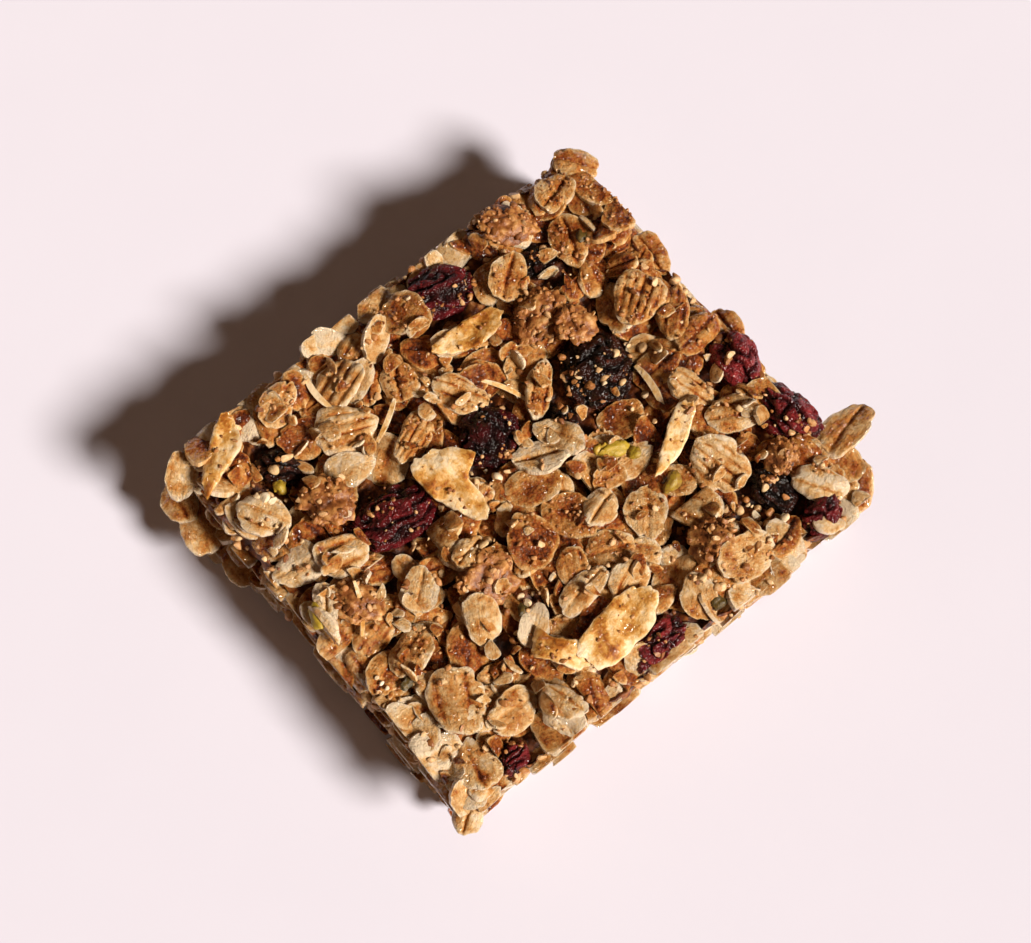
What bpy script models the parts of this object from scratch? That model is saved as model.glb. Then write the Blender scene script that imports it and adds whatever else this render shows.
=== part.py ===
"""A square energy bar: pressed rolled oats with dried cranberries, raisins and toasted coconut chips.

Metres, +Z up. The bar lies on its flat underside, with the origin under the middle of its box.
X runs along the longer cut side and Y along the shorter one. Places on the top face are in
millimetres from the middle of the pressed block, and the whole is centred at the end.
"""

import math
import random

import bmesh
import bpy
from mathutils import Euler, Matrix, Vector, noise

MM = 0.001

# The pressed block, before the pieces that show are fused on
BLOCK_LOW_X, BLOCK_HIGH_X = -41.0, 42.0
BLOCK_LOW_Y, BLOCK_HIGH_Y = -36.6, 37.6
BLOCK_HEIGHT = 17.6
CELL = 8.0
LAYERS = 3
CORNER_ROUND = 2.4
TOP_RELIEF = 0.8
SIDE_RELIEF = 1.5
RELIEF_SCALE = 0.16

# The cut sides aren't upright: how far each one's foot stands out from its top edge
LEFT_FOOT = 0.8
LEFT_BULGE = 3.0
BULGE_Y, BULGE_SPREAD = 28.0, 8.0
FRONT_UNDERCUT = 1.4

# Pieces at their true size
OAT_THICKNESS = 1.5
OAT_ROOT = 3.6
OUTER_ROOT = 1.6
EDGE_OAT_THICKNESS = 1.7
EDGE_OAT_SIDES = 7
OAT_SIDES = 8
CREASE_DEPTH = 0.45
PUFF_SIZE = 2.2
SHRED_THICKNESS = 1.3
CHIP_THICKNESS = 1.3
CHIP_WAVE = 0.9
BERRY_SEGMENTS, BERRY_RINGS = 12, 7
POCKET_GAP = 0.38

# The scatter between the pieces placed by hand
FILL_SPACING = 7.2
FILL_LENGTH = (6.4, 9.2)
EDGE_SPACING = 9.4
EDGE_LEVELS = (2.6, 6.4, 10.2, 14.2)
PUFF_COUNT = 34
PUFF_SPACING = 9.0
SCATTER_TRIES = 5000
SEED = 11

COLOURS = {
    "oat": (0.47, 0.26, 0.10),
    "cranberry": (0.12, 0.012, 0.02),
    "raisin": (0.022, 0.010, 0.014),
    "coconut": (0.66, 0.42, 0.18),
}

# name, kind, x, y, length, width, height, turn in degrees, middle's height above the block's top
BERRIES = [
    ("cranberry_1", "cranberry", 10.5, 33.4, 13.0, 8.5, 6.5, -20, -0.6),
    ("cranberry_2", "cranberry", -20.0, 8.2, 13.5, 9.5, 7.0, -8, -0.5),
    ("cranberry_3", "cranberry", 1.0, 9.0, 10.5, 11.0, 7.0, 30, -0.7),
    ("cranberry_4", "cranberry", 41.6, -6.4, 7.6, 10.6, 8.0, -12, -1.6),
    ("cranberry_5", "cranberry", 41.9, -18.6, 8.4, 13.0, 8.5, 8, -1.8),
    ("cranberry_6", "cranberry", 35.6, -35.2, 8.6, 6.4, 6.5, 10, -1.8),
    ("cranberry_7", "cranberry", 0.2, -34.6, 11.5, 6.6, 6.5, 6, -1.2),
    ("cranberry_8", "cranberry", -29.6, -34.4, 6.0, 4.6, 5.0, 20, -1.4),
    ("raisin_1", "raisin", 22.0, 6.8, 12.8, 12.4, 8.0, 12, -0.6),
    ("raisin_2", "raisin", 12.2, 3.6, 5.6, 5.2, 6.0, 70, -1.4),
    ("raisin_3", "raisin", -29.0, 26.6, 8.0, 6.0, 5.5, -50, -1.6),
    ("raisin_4", "raisin", 26.6, 27.6, 7.0, 5.4, 5.0, -10, -1.8),
    ("raisin_5", "raisin", 31.8, -27.0, 6.4, 9.4, 6.5, 8, -1.3),
]

# name, x, y, length, width, turn, height of its middle above the block's top
CHIPS = [
    ("coconut_chip_1", -10.4, 5.6, 15.0, 7.4, -80, 2.2),
    ("coconut_chip_2", -1.6, -28.0, 16.5, 8.4, 14, 2.1),
    ("coconut_chip_3", -14.0, -25.4, 10.0, 6.2, -62, 1.6),
    ("coconut_chip_4", -35.8, 33.8, 14.0, 4.6, 40, 1.9),
    ("coconut_chip_5", 24.6, -10.6, 14.5, 3.6, 25, 1.9),
    ("coconut_chip_6", 9.0, 25.0, 14.0, 5.2, -12, 2.0),
]

# x, y, length, width, turn, tilt about the piece's own length, height above the block's top
HAND_OATS = [
    (-17.0, 24.6, 11.0, 8.0, -25, 6, 1.4),
    (-13.0, 31.2, 9.5, 7.5, 15, -8, 1.3),
    (-3.4, 33.6, 9.0, 4.6, 36, 18, 1.3),
    (3.0, 33.6, 8.6, 7.4, -60, 4, 1.2),
    (-5.0, 25.4, 7.0, 6.4, 60, 0, 1.4),
    (20.5, 28.0, 9.0, 6.4, 40, -10, 1.2),
    (33.0, 27.0, 9.0, 7.0, 70, 6, 1.1),
    (1.6, 17.4, 9.4, 6.4, -58, 4, 1.5),
    (-9.0, 16.4, 10.0, 5.6, 24, 10, 1.3),
    (-36.4, 21.6, 9.0, 6.8, -60, 4, 1.3),
    (-37.0, 11.6, 9.0, 6.4, -6, -6, 1.2),
    (-30.4, 8.4, 9.4, 6.8, -18, 4, 1.2),
    (5.2, 0.6, 9.4, 6.2, -32, -6, 1.7),
    (9.6, 1.6, 9.0, 5.4, -64, 8, 1.1),
    (12.2, 10.0, 10.4, 4.6, 40, 4, 1.9),
    (-24.4, -4.0, 8.0, 6.0, 42, -8, 1.6),
    (-37.4, 3.6, 6.6, 4.8, 60, 8, 1.0),
    (-5.2, -9.0, 10.0, 8.0, 70, 6, 1.5),
    (2.4, -9.8, 9.4, 7.6, -70, -4, 1.3),
    (7.2, -12.0, 7.6, 5.4, 14, -6, 0.9),
    (27.0, -18.6, 10.8, 9.2, -76, 6, 1.6),
    (34.8, -13.4, 9.6, 6.4, -32, -6, 1.2),
    (32.0, -5.6, 8.6, 5.4, -68, 6, 1.2),
    (11.6, -8.6, 6.0, 4.6, -6, 4, 1.4),
    (-3.6, -20.6, 10.4, 5.0, 8, 10, 1.6),
    (-18.0, -32.6, 8.0, 5.2, -76, 6, 1.2),
    (-25.4, -28.6, 10.0, 6.6, -4, 4, 1.4),
    (-35.0, -31.6, 9.0, 7.0, 70, -4, 1.3),
    (-31.0, -21.8, 11.4, 9.6, 62, 4, 1.5),
    (-31.6, -10.8, 9.0, 6.8, 24, -6, 1.3),
    (-19.6, -14.2, 9.0, 6.0, 62, 8, 1.5),
    (20.2, -33.0, 10.4, 8.0, -14, 4, 1.2),
    (38.0, -31.4, 9.6, 6.0, -58, 8, 1.2),
    (35.0, 11.6, 10.4, 8.4, 30, 8, 1.4),
    (38.8, 0.8, 9.0, 5.6, 8, -6, 1.2),
    (42.2, 32.0, 10.0, 6.0, -76, -14, 0.2),
    (42.4, 25.0, 8.0, 6.2, 30, -10, 0.2),
    (36.4, 35.0, 7.6, 6.4, 20, 6, 1.0),
    (12.6, -17.2, 9.4, 7.0, 56, -6, 1.4),
    (4.0, -18.0, 9.0, 6.0, -20, 4, 1.0),
    (-14.4, -4.4, 6.4, 5.0, 20, 8, 0.9),
    (-40.4, 1.0, 8.0, 4.4, 82, -22, 0.6),
    (-23.0, 34.6, 8.4, 5.6, 20, 6, 1.1),
    (46.4, -26.4, 10.4, 6.4, 12, -18, -1.4),
    (43.4, -35.6, 10.6, 4.8, 40, -26, -2.6),
    (-43.6, 28.6, 9.6, 7.0, 66, 10, -9.6),
    (-43.0, 20.6, 8.0, 6.0, 84, 6, -12.6),
]

# x, y, length, turn: thin shreds that lie on the rest
HAND_SHREDS = [
    (-17.0, 32.4, 7.0, 88),
    (-10.6, 21.4, 8.0, 30),
    (27.6, -1.4, 9.4, 82),
    (-33.6, -0.6, 9.0, 60),
    (8.0, 13.8, 8.0, -62),
]

# x, y, size: rounded crumb clusters
HAND_CLUSTERS = [
    (-26.6, 16.8, 9.0),
    (-15.0, -9.6, 9.5),
    (-33.4, 0.8, 8.0),
    (20.0, 19.6, 9.0),
    (24.0, 14.6, 8.0),
    (17.6, -27.4, 8.0),
    (36.0, -24.0, 6.0),
    (26.0, 35.0, 8.5),
]


def clear_scene():
    for obj in list(bpy.data.objects):
        bpy.data.objects.remove(obj)


def material(kind, roughness):
    made = bpy.data.materials.new(kind)
    made.use_nodes = True
    shader = made.node_tree.nodes["Principled BSDF"]
    shader.inputs["Base Color"].default_value = (*COLOURS[kind], 1.0)
    shader.inputs["Roughness"].default_value = roughness
    shader.inputs["Metallic"].default_value = 0.0
    return made


def object_from(name, mesh_data, collection, place=None):
    """An object from a bmesh whose points are in millimetres, moved to its place."""
    if place is not None:
        bmesh.ops.transform(mesh_data, matrix=place, verts=mesh_data.verts)
    bmesh.ops.scale(mesh_data, vec=(MM, MM, MM), verts=mesh_data.verts)
    bmesh.ops.recalc_face_normals(mesh_data, faces=mesh_data.faces)
    bmesh.ops.triangulate(mesh_data, faces=mesh_data.faces)
    mesh = bpy.data.meshes.new(name)
    mesh_data.to_mesh(mesh)
    mesh_data.free()
    obj = bpy.data.objects.new(name, mesh)
    collection.objects.link(obj)
    return obj


def smooth_bump(value, middle, spread):
    return math.exp(-(((value - middle) / spread) ** 2))


def shape_block_point(x, y, z):
    """Moves a point of the plain box to where the pressed and cut block has it."""
    share = 1 - z / BLOCK_HEIGHT
    middle_x = (BLOCK_LOW_X + BLOCK_HIGH_X) / 2
    middle_y = (BLOCK_LOW_Y + BLOCK_HIGH_Y) / 2
    half_x = (BLOCK_HIGH_X - BLOCK_LOW_X) / 2
    half_y = (BLOCK_HIGH_Y - BLOCK_LOW_Y) / 2
    across = (x - middle_x) / half_x
    along = (y - middle_y) / half_y
    corner = max(0.0, abs(across) + abs(along) - 1.55) / 0.45
    x -= math.copysign(corner * CORNER_ROUND * 0.5, across)
    y -= math.copysign(corner * CORNER_ROUND * 0.5, along)
    if across < -0.99:
        x -= share * (LEFT_FOOT + LEFT_BULGE * smooth_bump(y, BULGE_Y, BULGE_SPREAD))
    if along < -0.99:
        y += share * FRONT_UNDERCUT
    point = Vector((x, y, z)) * RELIEF_SCALE
    if abs(across) > 0.99 or abs(along) > 0.99:
        push = SIDE_RELIEF * noise.noise(point)
        x += push if abs(across) > 0.99 else 0.0
        y += push if abs(along) > 0.99 else 0.0
    if z >= BLOCK_HEIGHT:
        z += TOP_RELIEF * noise.noise(point * 1.7)
    return Vector((x, y, z))


def add_block(collection):
    """The pressed block: a box of even cells, rounded at its corners, with an uneven top and sides."""
    count_x = round((BLOCK_HIGH_X - BLOCK_LOW_X) / CELL)
    count_y = round((BLOCK_HIGH_Y - BLOCK_LOW_Y) / CELL)
    counts = (count_x, count_y, LAYERS)
    low = (BLOCK_LOW_X, BLOCK_LOW_Y, 0.0)
    high = (BLOCK_HIGH_X, BLOCK_HIGH_Y, BLOCK_HEIGHT)
    grid = bmesh.new()
    found = {}

    def corner_at(index):
        if index not in found:
            plain = [low[a] + (high[a] - low[a]) * index[a] / counts[a] for a in range(3)]
            found[index] = grid.verts.new(shape_block_point(*plain))
        return found[index]

    for axis in range(3):
        first, second = [a for a in range(3) if a != axis]
        for side in (0, counts[axis]):
            for i in range(counts[first]):
                for j in range(counts[second]):
                    ring = []
                    for step_i, step_j in ((0, 0), (1, 0), (1, 1), (0, 1)):
                        index = [0, 0, 0]
                        index[axis] = side
                        index[first] = i + step_i
                        index[second] = j + step_j
                        ring.append(corner_at(tuple(index)))
                    grid.faces.new(ring)
    base = [face for face in grid.faces if all(v.co.z == 0.0 for v in face.verts)]
    bmesh.ops.dissolve_faces(grid, faces=base)
    return object_from("oat_bar", grid, collection)


def place_of(x, y, z, turn, tilt=0.0, pitch=0.0):
    angles = Euler((math.radians(tilt), math.radians(pitch), math.radians(turn)))
    return Matrix.Translation((x, y, z)) @ angles.to_matrix().to_4x4()


def oat_mesh(length, width, draw, root_depth=OAT_ROOT):
    """One rolled oat with few sides: an uneven oval, domed in two lobes along a sunken crease.

    Under its rim it narrows to a root, which sinks into the block.
    """
    flake = bmesh.new()
    rim = []
    for k in range(OAT_SIDES):
        angle = math.tau * k / OAT_SIDES + draw.uniform(-0.12, 0.12)
        reach = draw.uniform(0.92, 1.06)
        x = math.cos(angle) * reach * length / 2
        y = math.sin(angle) * reach * width / 2
        rim.append(flake.verts.new((x, y, 0.0)))
    root = flake.verts.new((0.0, 0.0, -root_depth))
    for k in range(OAT_SIDES):
        flake.faces.new((rim[k], rim[(k + 1) % OAT_SIDES], root))
    lobes = []
    for side in (-1, 1):
        y = side * width * 0.22
        lobes.append(flake.verts.new((draw.uniform(-0.1, 0.1) * length, y, OAT_THICKNESS / 2)))
    crease = flake.verts.new((0.0, 0.0, OAT_THICKNESS / 2 - CREASE_DEPTH))
    right_end = rim[0]
    left_end = rim[OAT_SIDES // 2]
    upper = rim[: OAT_SIDES // 2 + 1]
    lower = rim[OAT_SIDES // 2 :] + rim[:1]
    for run, lobe in ((upper, lobes[1]), (lower, lobes[0])):
        for k in range(len(run) - 1):
            flake.faces.new((run[k], run[k + 1], lobe))
    flake.faces.new((right_end, lobes[1], crease))
    flake.faces.new((lobes[1], left_end, crease))
    flake.faces.new((left_end, lobes[0], crease))
    flake.faces.new((lobes[0], right_end, crease))
    return flake


def edge_oat_mesh(length, width, draw):
    """An oat seen at a cut side: a thin lens, of which only the rim shows."""
    lens = bmesh.new()
    half = EDGE_OAT_THICKNESS / 2
    rim = []
    for k in range(EDGE_OAT_SIDES):
        angle = math.tau * (k + draw.uniform(-0.15, 0.15)) / EDGE_OAT_SIDES
        x = math.cos(angle) * length / 2
        y = math.sin(angle) * width / 2
        rim.append(lens.verts.new((x, y, draw.uniform(-0.2, 0.2))))
    for side in (1, -1):
        apex = lens.verts.new((0.0, 0.0, side * half))
        for k in range(EDGE_OAT_SIDES):
            lens.faces.new((rim[k], rim[(k + 1) % EDGE_OAT_SIDES], apex))
    return lens


def lump_mesh(size, flatness, draw, rounds=1):
    """A crumb cluster or a puffed grain: a ball with few sides, pushed in and out."""
    lump = bmesh.new()
    bmesh.ops.create_icosphere(lump, subdivisions=rounds, radius=size / 2)
    for vert in lump.verts:
        vert.co *= draw.uniform(0.84, 1.1)
        vert.co.z *= flatness
    return lump


def shred_mesh(length, thickness=SHRED_THICKNESS):
    """A thin shred: a short bar with a three-cornered ridge, that arches a little along its length."""
    shred = bmesh.new()
    rings = []
    stations = 4
    for k in range(stations):
        along = k / (stations - 1) * 2 - 1
        half = thickness / 2 * (1 - 0.5 * along**4)
        lift = 0.5 * (1 - along**2)
        x = along * length / 2
        ring = [(x, -half, lift - 1.2), (x, half, lift - 1.2), (x, half, lift), (x, -half, lift)]
        rings.append([shred.verts.new(p) for p in ring])
    for one, other in zip(rings, rings[1:]):
        for k in range(4):
            after = (k + 1) % 4
            shred.faces.new((one[k], one[after], other[after], other[k]))
    shred.faces.new(rings[0])
    shred.faces.new(list(reversed(rings[-1])))
    return shred


def berry_mesh(length, width, height, grow, phase):
    """A dried berry: a squashed ball with deep folds, made larger all round by grow for its pocket."""
    berry = bmesh.new()
    bmesh.ops.create_uvsphere(berry, u_segments=BERRY_SEGMENTS, v_segments=BERRY_RINGS, radius=1.0)
    for vert in berry.verts:
        unit = vert.co.normalized()
        fold = noise.noise(unit * 1.5 + Vector((phase, 0, 0)))
        fine = noise.noise(unit * 3.1 + Vector((0, phase, 0)))
        size = 1 + 0.16 * fold - 0.10 * abs(fine)
        spread = Vector((length / 2 + grow, width / 2 + grow, height / 2 + grow))
        vert.co = Vector([unit[a] * size * spread[a] for a in range(3)])
    return berry


def chip_mesh(length, width, grow):
    """A coconut chip: a thin wavy leaf with blunt ends, both faces split alike."""
    chip = bmesh.new()
    along_count, across_count = 7, 4
    half = CHIP_THICKNESS / 2 + grow
    sheets = {1: [], -1: []}
    for i in range(along_count):
        u = i / (along_count - 1) * 2 - 1
        taper = (1 - 0.55 * abs(u) ** 3) * width / 2 + grow
        x = u * (length / 2 + grow)
        row = {1: [], -1: []}
        for j in range(across_count):
            v = j / (across_count - 1) * 2 - 1
            wave = CHIP_WAVE * (math.sin(2.4 * u + 0.5) * 0.6 + 0.5 * v * u)
            for side in (1, -1):
                row[side].append(chip.verts.new((x, v * taper, wave + side * half)))
        for side in (1, -1):
            sheets[side].append(row[side])
    for side in (1, -1):
        rows = sheets[side]
        for i in range(along_count - 1):
            for j in range(across_count - 1):
                a, b = rows[i][j], rows[i + 1][j]
                c, d = rows[i + 1][j + 1], rows[i][j + 1]
                chip.faces.new((a, b, c))
                chip.faces.new((a, c, d))
    top, under = sheets[1], sheets[-1]
    loop = [(i, 0) for i in range(along_count)]
    loop += [(along_count - 1, j) for j in range(1, across_count)]
    loop += [(i, across_count - 1) for i in range(along_count - 2, -1, -1)]
    loop += [(0, j) for j in range(across_count - 2, 0, -1)]
    for (i, j), (m, n) in zip(loop, loop[1:] + loop[:1]):
        chip.faces.new((top[i][j], top[m][n], under[m][n], under[i][j]))
    return chip


def inside_block(x, y, margin):
    return (
        BLOCK_LOW_X + margin < x < BLOCK_HIGH_X - margin
        and BLOCK_LOW_Y + margin < y < BLOCK_HIGH_Y - margin
    )


def separate_pieces():
    """Place, half reaches and turn of each berry and chip, which the scatter keeps clear of."""
    found = []
    for _, _, x, y, length, width, _, turn, _ in BERRIES:
        found.append((x, y, length / 2, width / 2, turn))
    for _, x, y, length, width, turn, _ in CHIPS:
        found.append((x, y, length / 2, width / 2, turn))
    return found


def clears_separate(x, y, reach):
    for px, py, half_length, half_width, turn in separate_pieces():
        angle = math.radians(turn)
        across = (x - px) * math.cos(angle) + (y - py) * math.sin(angle)
        along = (y - py) * math.cos(angle) - (x - px) * math.sin(angle)
        if (across / (half_length + reach)) ** 2 + (along / (half_width + reach)) ** 2 < 1:
            return False
    return True


def scattered_places(draw, taken, spacing, margin):
    """Evenly spread random places on the top, clear of those already taken."""
    found = []
    for _ in range(SCATTER_TRIES):
        x = draw.uniform(BLOCK_LOW_X, BLOCK_HIGH_X)
        y = draw.uniform(BLOCK_LOW_Y, BLOCK_HIGH_Y)
        if not inside_block(x, y, margin) or not clears_separate(x, y, 1.6):
            continue
        if all(math.hypot(x - px, y - py) > spacing for px, py in taken + found):
            found.append((x, y))
    return found


def add_top_pieces(pieces, draw):
    """The flakes, shreds, clusters and grains that show on the top face."""
    taken = [(oat[0], oat[1]) for oat in HAND_OATS]
    taken += [(lump[0], lump[1]) for lump in HAND_CLUSTERS]
    for x, y, length, width, turn, tilt, lift in HAND_OATS:
        place = place_of(x, y, BLOCK_HEIGHT + lift, turn, tilt)
        root_depth = OAT_ROOT if inside_block(x, y, 1.0) else OUTER_ROOT
        object_from("oat", oat_mesh(length, width, draw, root_depth), pieces, place)
    for x, y, length, turn in HAND_SHREDS:
        place = place_of(x, y, BLOCK_HEIGHT + 1.4, turn)
        object_from("shred", shred_mesh(length), pieces, place)
    for x, y, size in HAND_CLUSTERS:
        place = place_of(x, y, BLOCK_HEIGHT - 0.2, draw.uniform(0, 180))
        object_from("cluster", lump_mesh(size, 0.5, draw, rounds=2), pieces, place)
    for x, y in scattered_places(draw, taken, FILL_SPACING, 2.0):
        length = draw.uniform(*FILL_LENGTH)
        width = length * draw.uniform(0.62, 0.82)
        lift = draw.uniform(0.4, 1.5)
        tilt, pitch = draw.uniform(-14, 14), draw.uniform(-12, 12)
        place = place_of(x, y, BLOCK_HEIGHT + lift, draw.uniform(0, 180), tilt, pitch)
        object_from("oat", oat_mesh(length, width, draw), pieces, place)
    for x, y in scattered_places(draw, [], PUFF_SPACING, 3.0)[:PUFF_COUNT]:
        place = place_of(x, y, BLOCK_HEIGHT + 1.5, draw.uniform(0, 180))
        object_from("puff", lump_mesh(PUFF_SIZE, 0.9, draw), pieces, place)


def add_edge_pieces(pieces, draw):
    """Flakes that lie flat in the cut sides, in staggered layers, with their rims showing."""
    sides = [
        ((BLOCK_LOW_X, BLOCK_LOW_Y), (1, 0), (0, -1), BLOCK_HIGH_X - BLOCK_LOW_X),
        ((BLOCK_LOW_X, BLOCK_HIGH_Y), (1, 0), (0, 1), BLOCK_HIGH_X - BLOCK_LOW_X),
        ((BLOCK_LOW_X, BLOCK_LOW_Y), (0, 1), (-1, 0), BLOCK_HIGH_Y - BLOCK_LOW_Y),
        ((BLOCK_HIGH_X, BLOCK_LOW_Y), (0, 1), (1, 0), BLOCK_HIGH_Y - BLOCK_LOW_Y),
    ]
    for start, way, outward, run in sides:
        for level, height in enumerate(EDGE_LEVELS):
            for k in range(int(run / EDGE_SPACING)):
                along = (k + 0.2 + 0.45 * (level % 2)) * EDGE_SPACING + draw.uniform(-1.2, 1.2)
                if not 3.0 < along < run - 3.0:
                    continue
                length = draw.uniform(7.0, 10.0)
                width = length * draw.uniform(0.65, 0.8)
                sink = width / 2 - draw.uniform(0.7, 1.5)
                x = start[0] + way[0] * along - outward[0] * sink
                y = start[1] + way[1] * along - outward[1] * sink
                z = height + draw.uniform(-1.0, 1.0)
                if height > EDGE_LEVELS[1] and not clears_separate(x, y, 0.5):
                    continue
                turn = math.degrees(math.atan2(way[1], way[0])) + draw.uniform(-14, 14)
                tilt = draw.uniform(-12, 12)
                place = place_of(x, y, z, turn, tilt, draw.uniform(-8, 8))
                object_from("edge_oat", edge_oat_mesh(length, width, draw), pieces, place)


def apply_boolean(obj, operation, collection, solver):
    """Joins the collection to the object, or cuts it out, and removes the collection's objects."""
    step = obj.modifiers.new(operation.lower(), "BOOLEAN")
    step.operation = operation
    step.operand_type = "COLLECTION"
    step.collection = collection
    step.solver = solver
    bpy.context.view_layer.update()
    graph = bpy.context.evaluated_depsgraph_get()
    mesh = bpy.data.meshes.new_from_object(obj.evaluated_get(graph))
    obj.modifiers.clear()
    obj.data = mesh
    for used in list(collection.objects):
        bpy.data.objects.remove(used)
    bpy.data.collections.remove(collection)


def drop_scraps(obj):
    """Keeps the largest joined body: a flake cut through by a pocket can leave a crumb behind."""
    shape = bmesh.new()
    shape.from_mesh(obj.data)
    left = set(shape.verts)
    bodies = []
    while left:
        body, edge = set(), [left.pop()]
        while edge:
            vert = edge.pop()
            body.add(vert)
            for link in vert.link_edges:
                other = link.other_vert(vert)
                if other in left:
                    left.remove(other)
                    edge.append(other)
        bodies.append(body)
    bodies.sort(key=len)
    for body in bodies[:-1]:
        bmesh.ops.delete(shape, geom=list(body), context="VERTS")
    shape.to_mesh(obj.data)
    shape.free()


def add_separate(collection, grow):
    """The berries and chips, or with grow their pockets in the bar."""
    made = []
    for index, (name, _, x, y, length, width, height, turn, lift) in enumerate(BERRIES):
        mesh = berry_mesh(length, width, height, grow, 7.3 * index)
        place = place_of(x, y, BLOCK_HEIGHT + lift, turn)
        made.append(object_from(name, mesh, collection, place))
    for name, x, y, length, width, turn, lift in CHIPS:
        mesh = chip_mesh(length, width, grow)
        place = place_of(x, y, BLOCK_HEIGHT + lift, turn)
        made.append(object_from(name, mesh, collection, place))
    return made


def finish_surface(obj, look):
    obj.data.materials.clear()
    obj.data.materials.append(look)
    obj.data.shade_smooth()
    obj.data.set_sharp_from_angle(angle=math.radians(40))


def centre_on_box(parts):
    """Puts the middle of the whole box over the origin, and its lowest point on the ground."""
    points = [vert.co for part in parts for vert in part.data.vertices]
    low = Vector([min(p[a] for p in points) for a in range(3)])
    high = Vector([max(p[a] for p in points) for a in range(3)])
    shift = Vector((-(low.x + high.x) / 2, -(low.y + high.y) / 2, -low.z))
    for part in parts:
        part.data.transform(Matrix.Translation(shift))


def main():
    clear_scene()
    draw = random.Random(SEED)
    scene = bpy.context.scene.collection
    looks = {kind: material(kind, rough) for kind, rough in (
        ("oat", 0.5), ("cranberry", 0.3), ("raisin", 0.3), ("coconut", 0.45))}

    bar = add_block(scene)
    pieces = bpy.data.collections.new("pieces")
    scene.children.link(pieces)
    add_top_pieces(pieces, draw)
    add_edge_pieces(pieces, draw)
    apply_boolean(bar, "UNION", pieces, "MANIFOLD")

    pockets = bpy.data.collections.new("pockets")
    scene.children.link(pockets)
    add_separate(pockets, POCKET_GAP)
    apply_boolean(bar, "DIFFERENCE", pockets, "MANIFOLD")
    drop_scraps(bar)

    parts = [bar] + add_separate(scene, 0.0)
    kinds = {name: kind for name, kind, *_ in BERRIES}
    for part in parts:
        kind = "oat" if part == bar else kinds.get(part.name, "coconut")
        finish_surface(part, looks[kind])
    centre_on_box(parts)


main()
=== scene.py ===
"""The looks of a square energy bar: pressed rolled oats in honey with dried cranberries and raisins.

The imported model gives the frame. Places are in millimetres from the middle of the pressed block,
as in the model's own source, and every mesh is moved into the frame when it is built.
"""

import math
import random

import bmesh
import bpy
import numpy as np
from mathutils import Matrix, Vector, noise


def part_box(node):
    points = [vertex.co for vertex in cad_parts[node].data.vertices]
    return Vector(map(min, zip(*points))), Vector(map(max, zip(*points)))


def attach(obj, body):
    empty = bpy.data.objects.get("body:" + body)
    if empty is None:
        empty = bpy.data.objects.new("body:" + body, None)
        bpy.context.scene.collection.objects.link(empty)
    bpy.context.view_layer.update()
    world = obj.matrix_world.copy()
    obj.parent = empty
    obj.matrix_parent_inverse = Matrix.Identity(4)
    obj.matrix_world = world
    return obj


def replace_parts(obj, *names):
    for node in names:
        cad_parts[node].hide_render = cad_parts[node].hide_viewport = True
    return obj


MM = 0.001

# The pressed block. Left and right are the ends of x, front and back the ends of y.
LOW_X, HIGH_X = -41.0, 42.0
LOW_Y, HIGH_Y = -36.6, 37.6
BLOCK_HEIGHT = 17.6
CORNER_ROUND = 2.4
SIDE_RELIEF = 1.5
RELIEF_SCALE = 0.16
LEFT_FOOT = 0.8
LEFT_BULGE = 3.0
BULGE_Y, BULGE_SPREAD = 28.0, 8.0
FRONT_UNDERCUT = 1.4
CORNER_START, CORNER_SPAN = 1.55, 0.45
AT_SIDE = 0.99
# How far the flakes of each cut side stand out, and how that grows along the side
SIDE_OUT = {(0, -1): (0.4, 0.012), (0, 1): (1.4, 0.0), (1, -1): (1.9, 0.030), (1, 1): (2.5, 0.015)}
# Each cut side: its fixed axis, where it stands on it, its two ends, and its outward heading
WALLS = (
    (0, LOW_X, LOW_Y, HIGH_Y, -1),
    (0, HIGH_X, LOW_Y, HIGH_Y, 1),
    (1, LOW_Y, LOW_X, HIGH_X, -1),
    (1, HIGH_Y, LOW_X, HIGH_X, 1),
)

# The crumb between the flakes
CORE_CELL = 0.75
CORE_RECESS = 1.1
CORE_TOP = BLOCK_HEIGHT - 2.4
CRUMB_CELL = 0.62
CRUMB_DEPTH = 1.3

# Flakes, crumbs and how they are laid
OAT_THICKNESS = 1.1
SHARP_ANGLE = math.radians(50)
FILL_COUNT = 250
FILL_LENGTH = (6.2, 10.2)
FILL_TRIES = 7
KEPT_COST = 8.0
BROKEN_SHARE = 0.3
CORNER_TONE = 0.15
CUT_SOFTNESS = 0.2
BIT_COUNT = 200
CRUMB_COUNT = 900
DUST_PER_AREA = 0.22
LARGE_BERRY_AREA = 110
SIDE_BERRY_X = 40
CLUSTER_CRUMBS = 45
COAT_CRUMBS = 24
CHIP_CRUMBS = 9
TOP_LEVEL = 19.9
AREA_PER_EDGE_OAT = 8.6
AREA_PER_EDGE_CRUMB = 5.0
SIDE_LOOSE = {0: 0.7, 1: 0.3}
BASE_COUNT = 230
FOOT_DEPTH = 0.3
GOLDEN_SHARE = (math.sqrt(5) - 1) / 2
BED_STEP = 0.5
PATTERN_REACH = 90.0
DRIFT_STARTS = ((0, 0, 0), (31, 17, 5), (11, 47, 29))
SEED = 23

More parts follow.
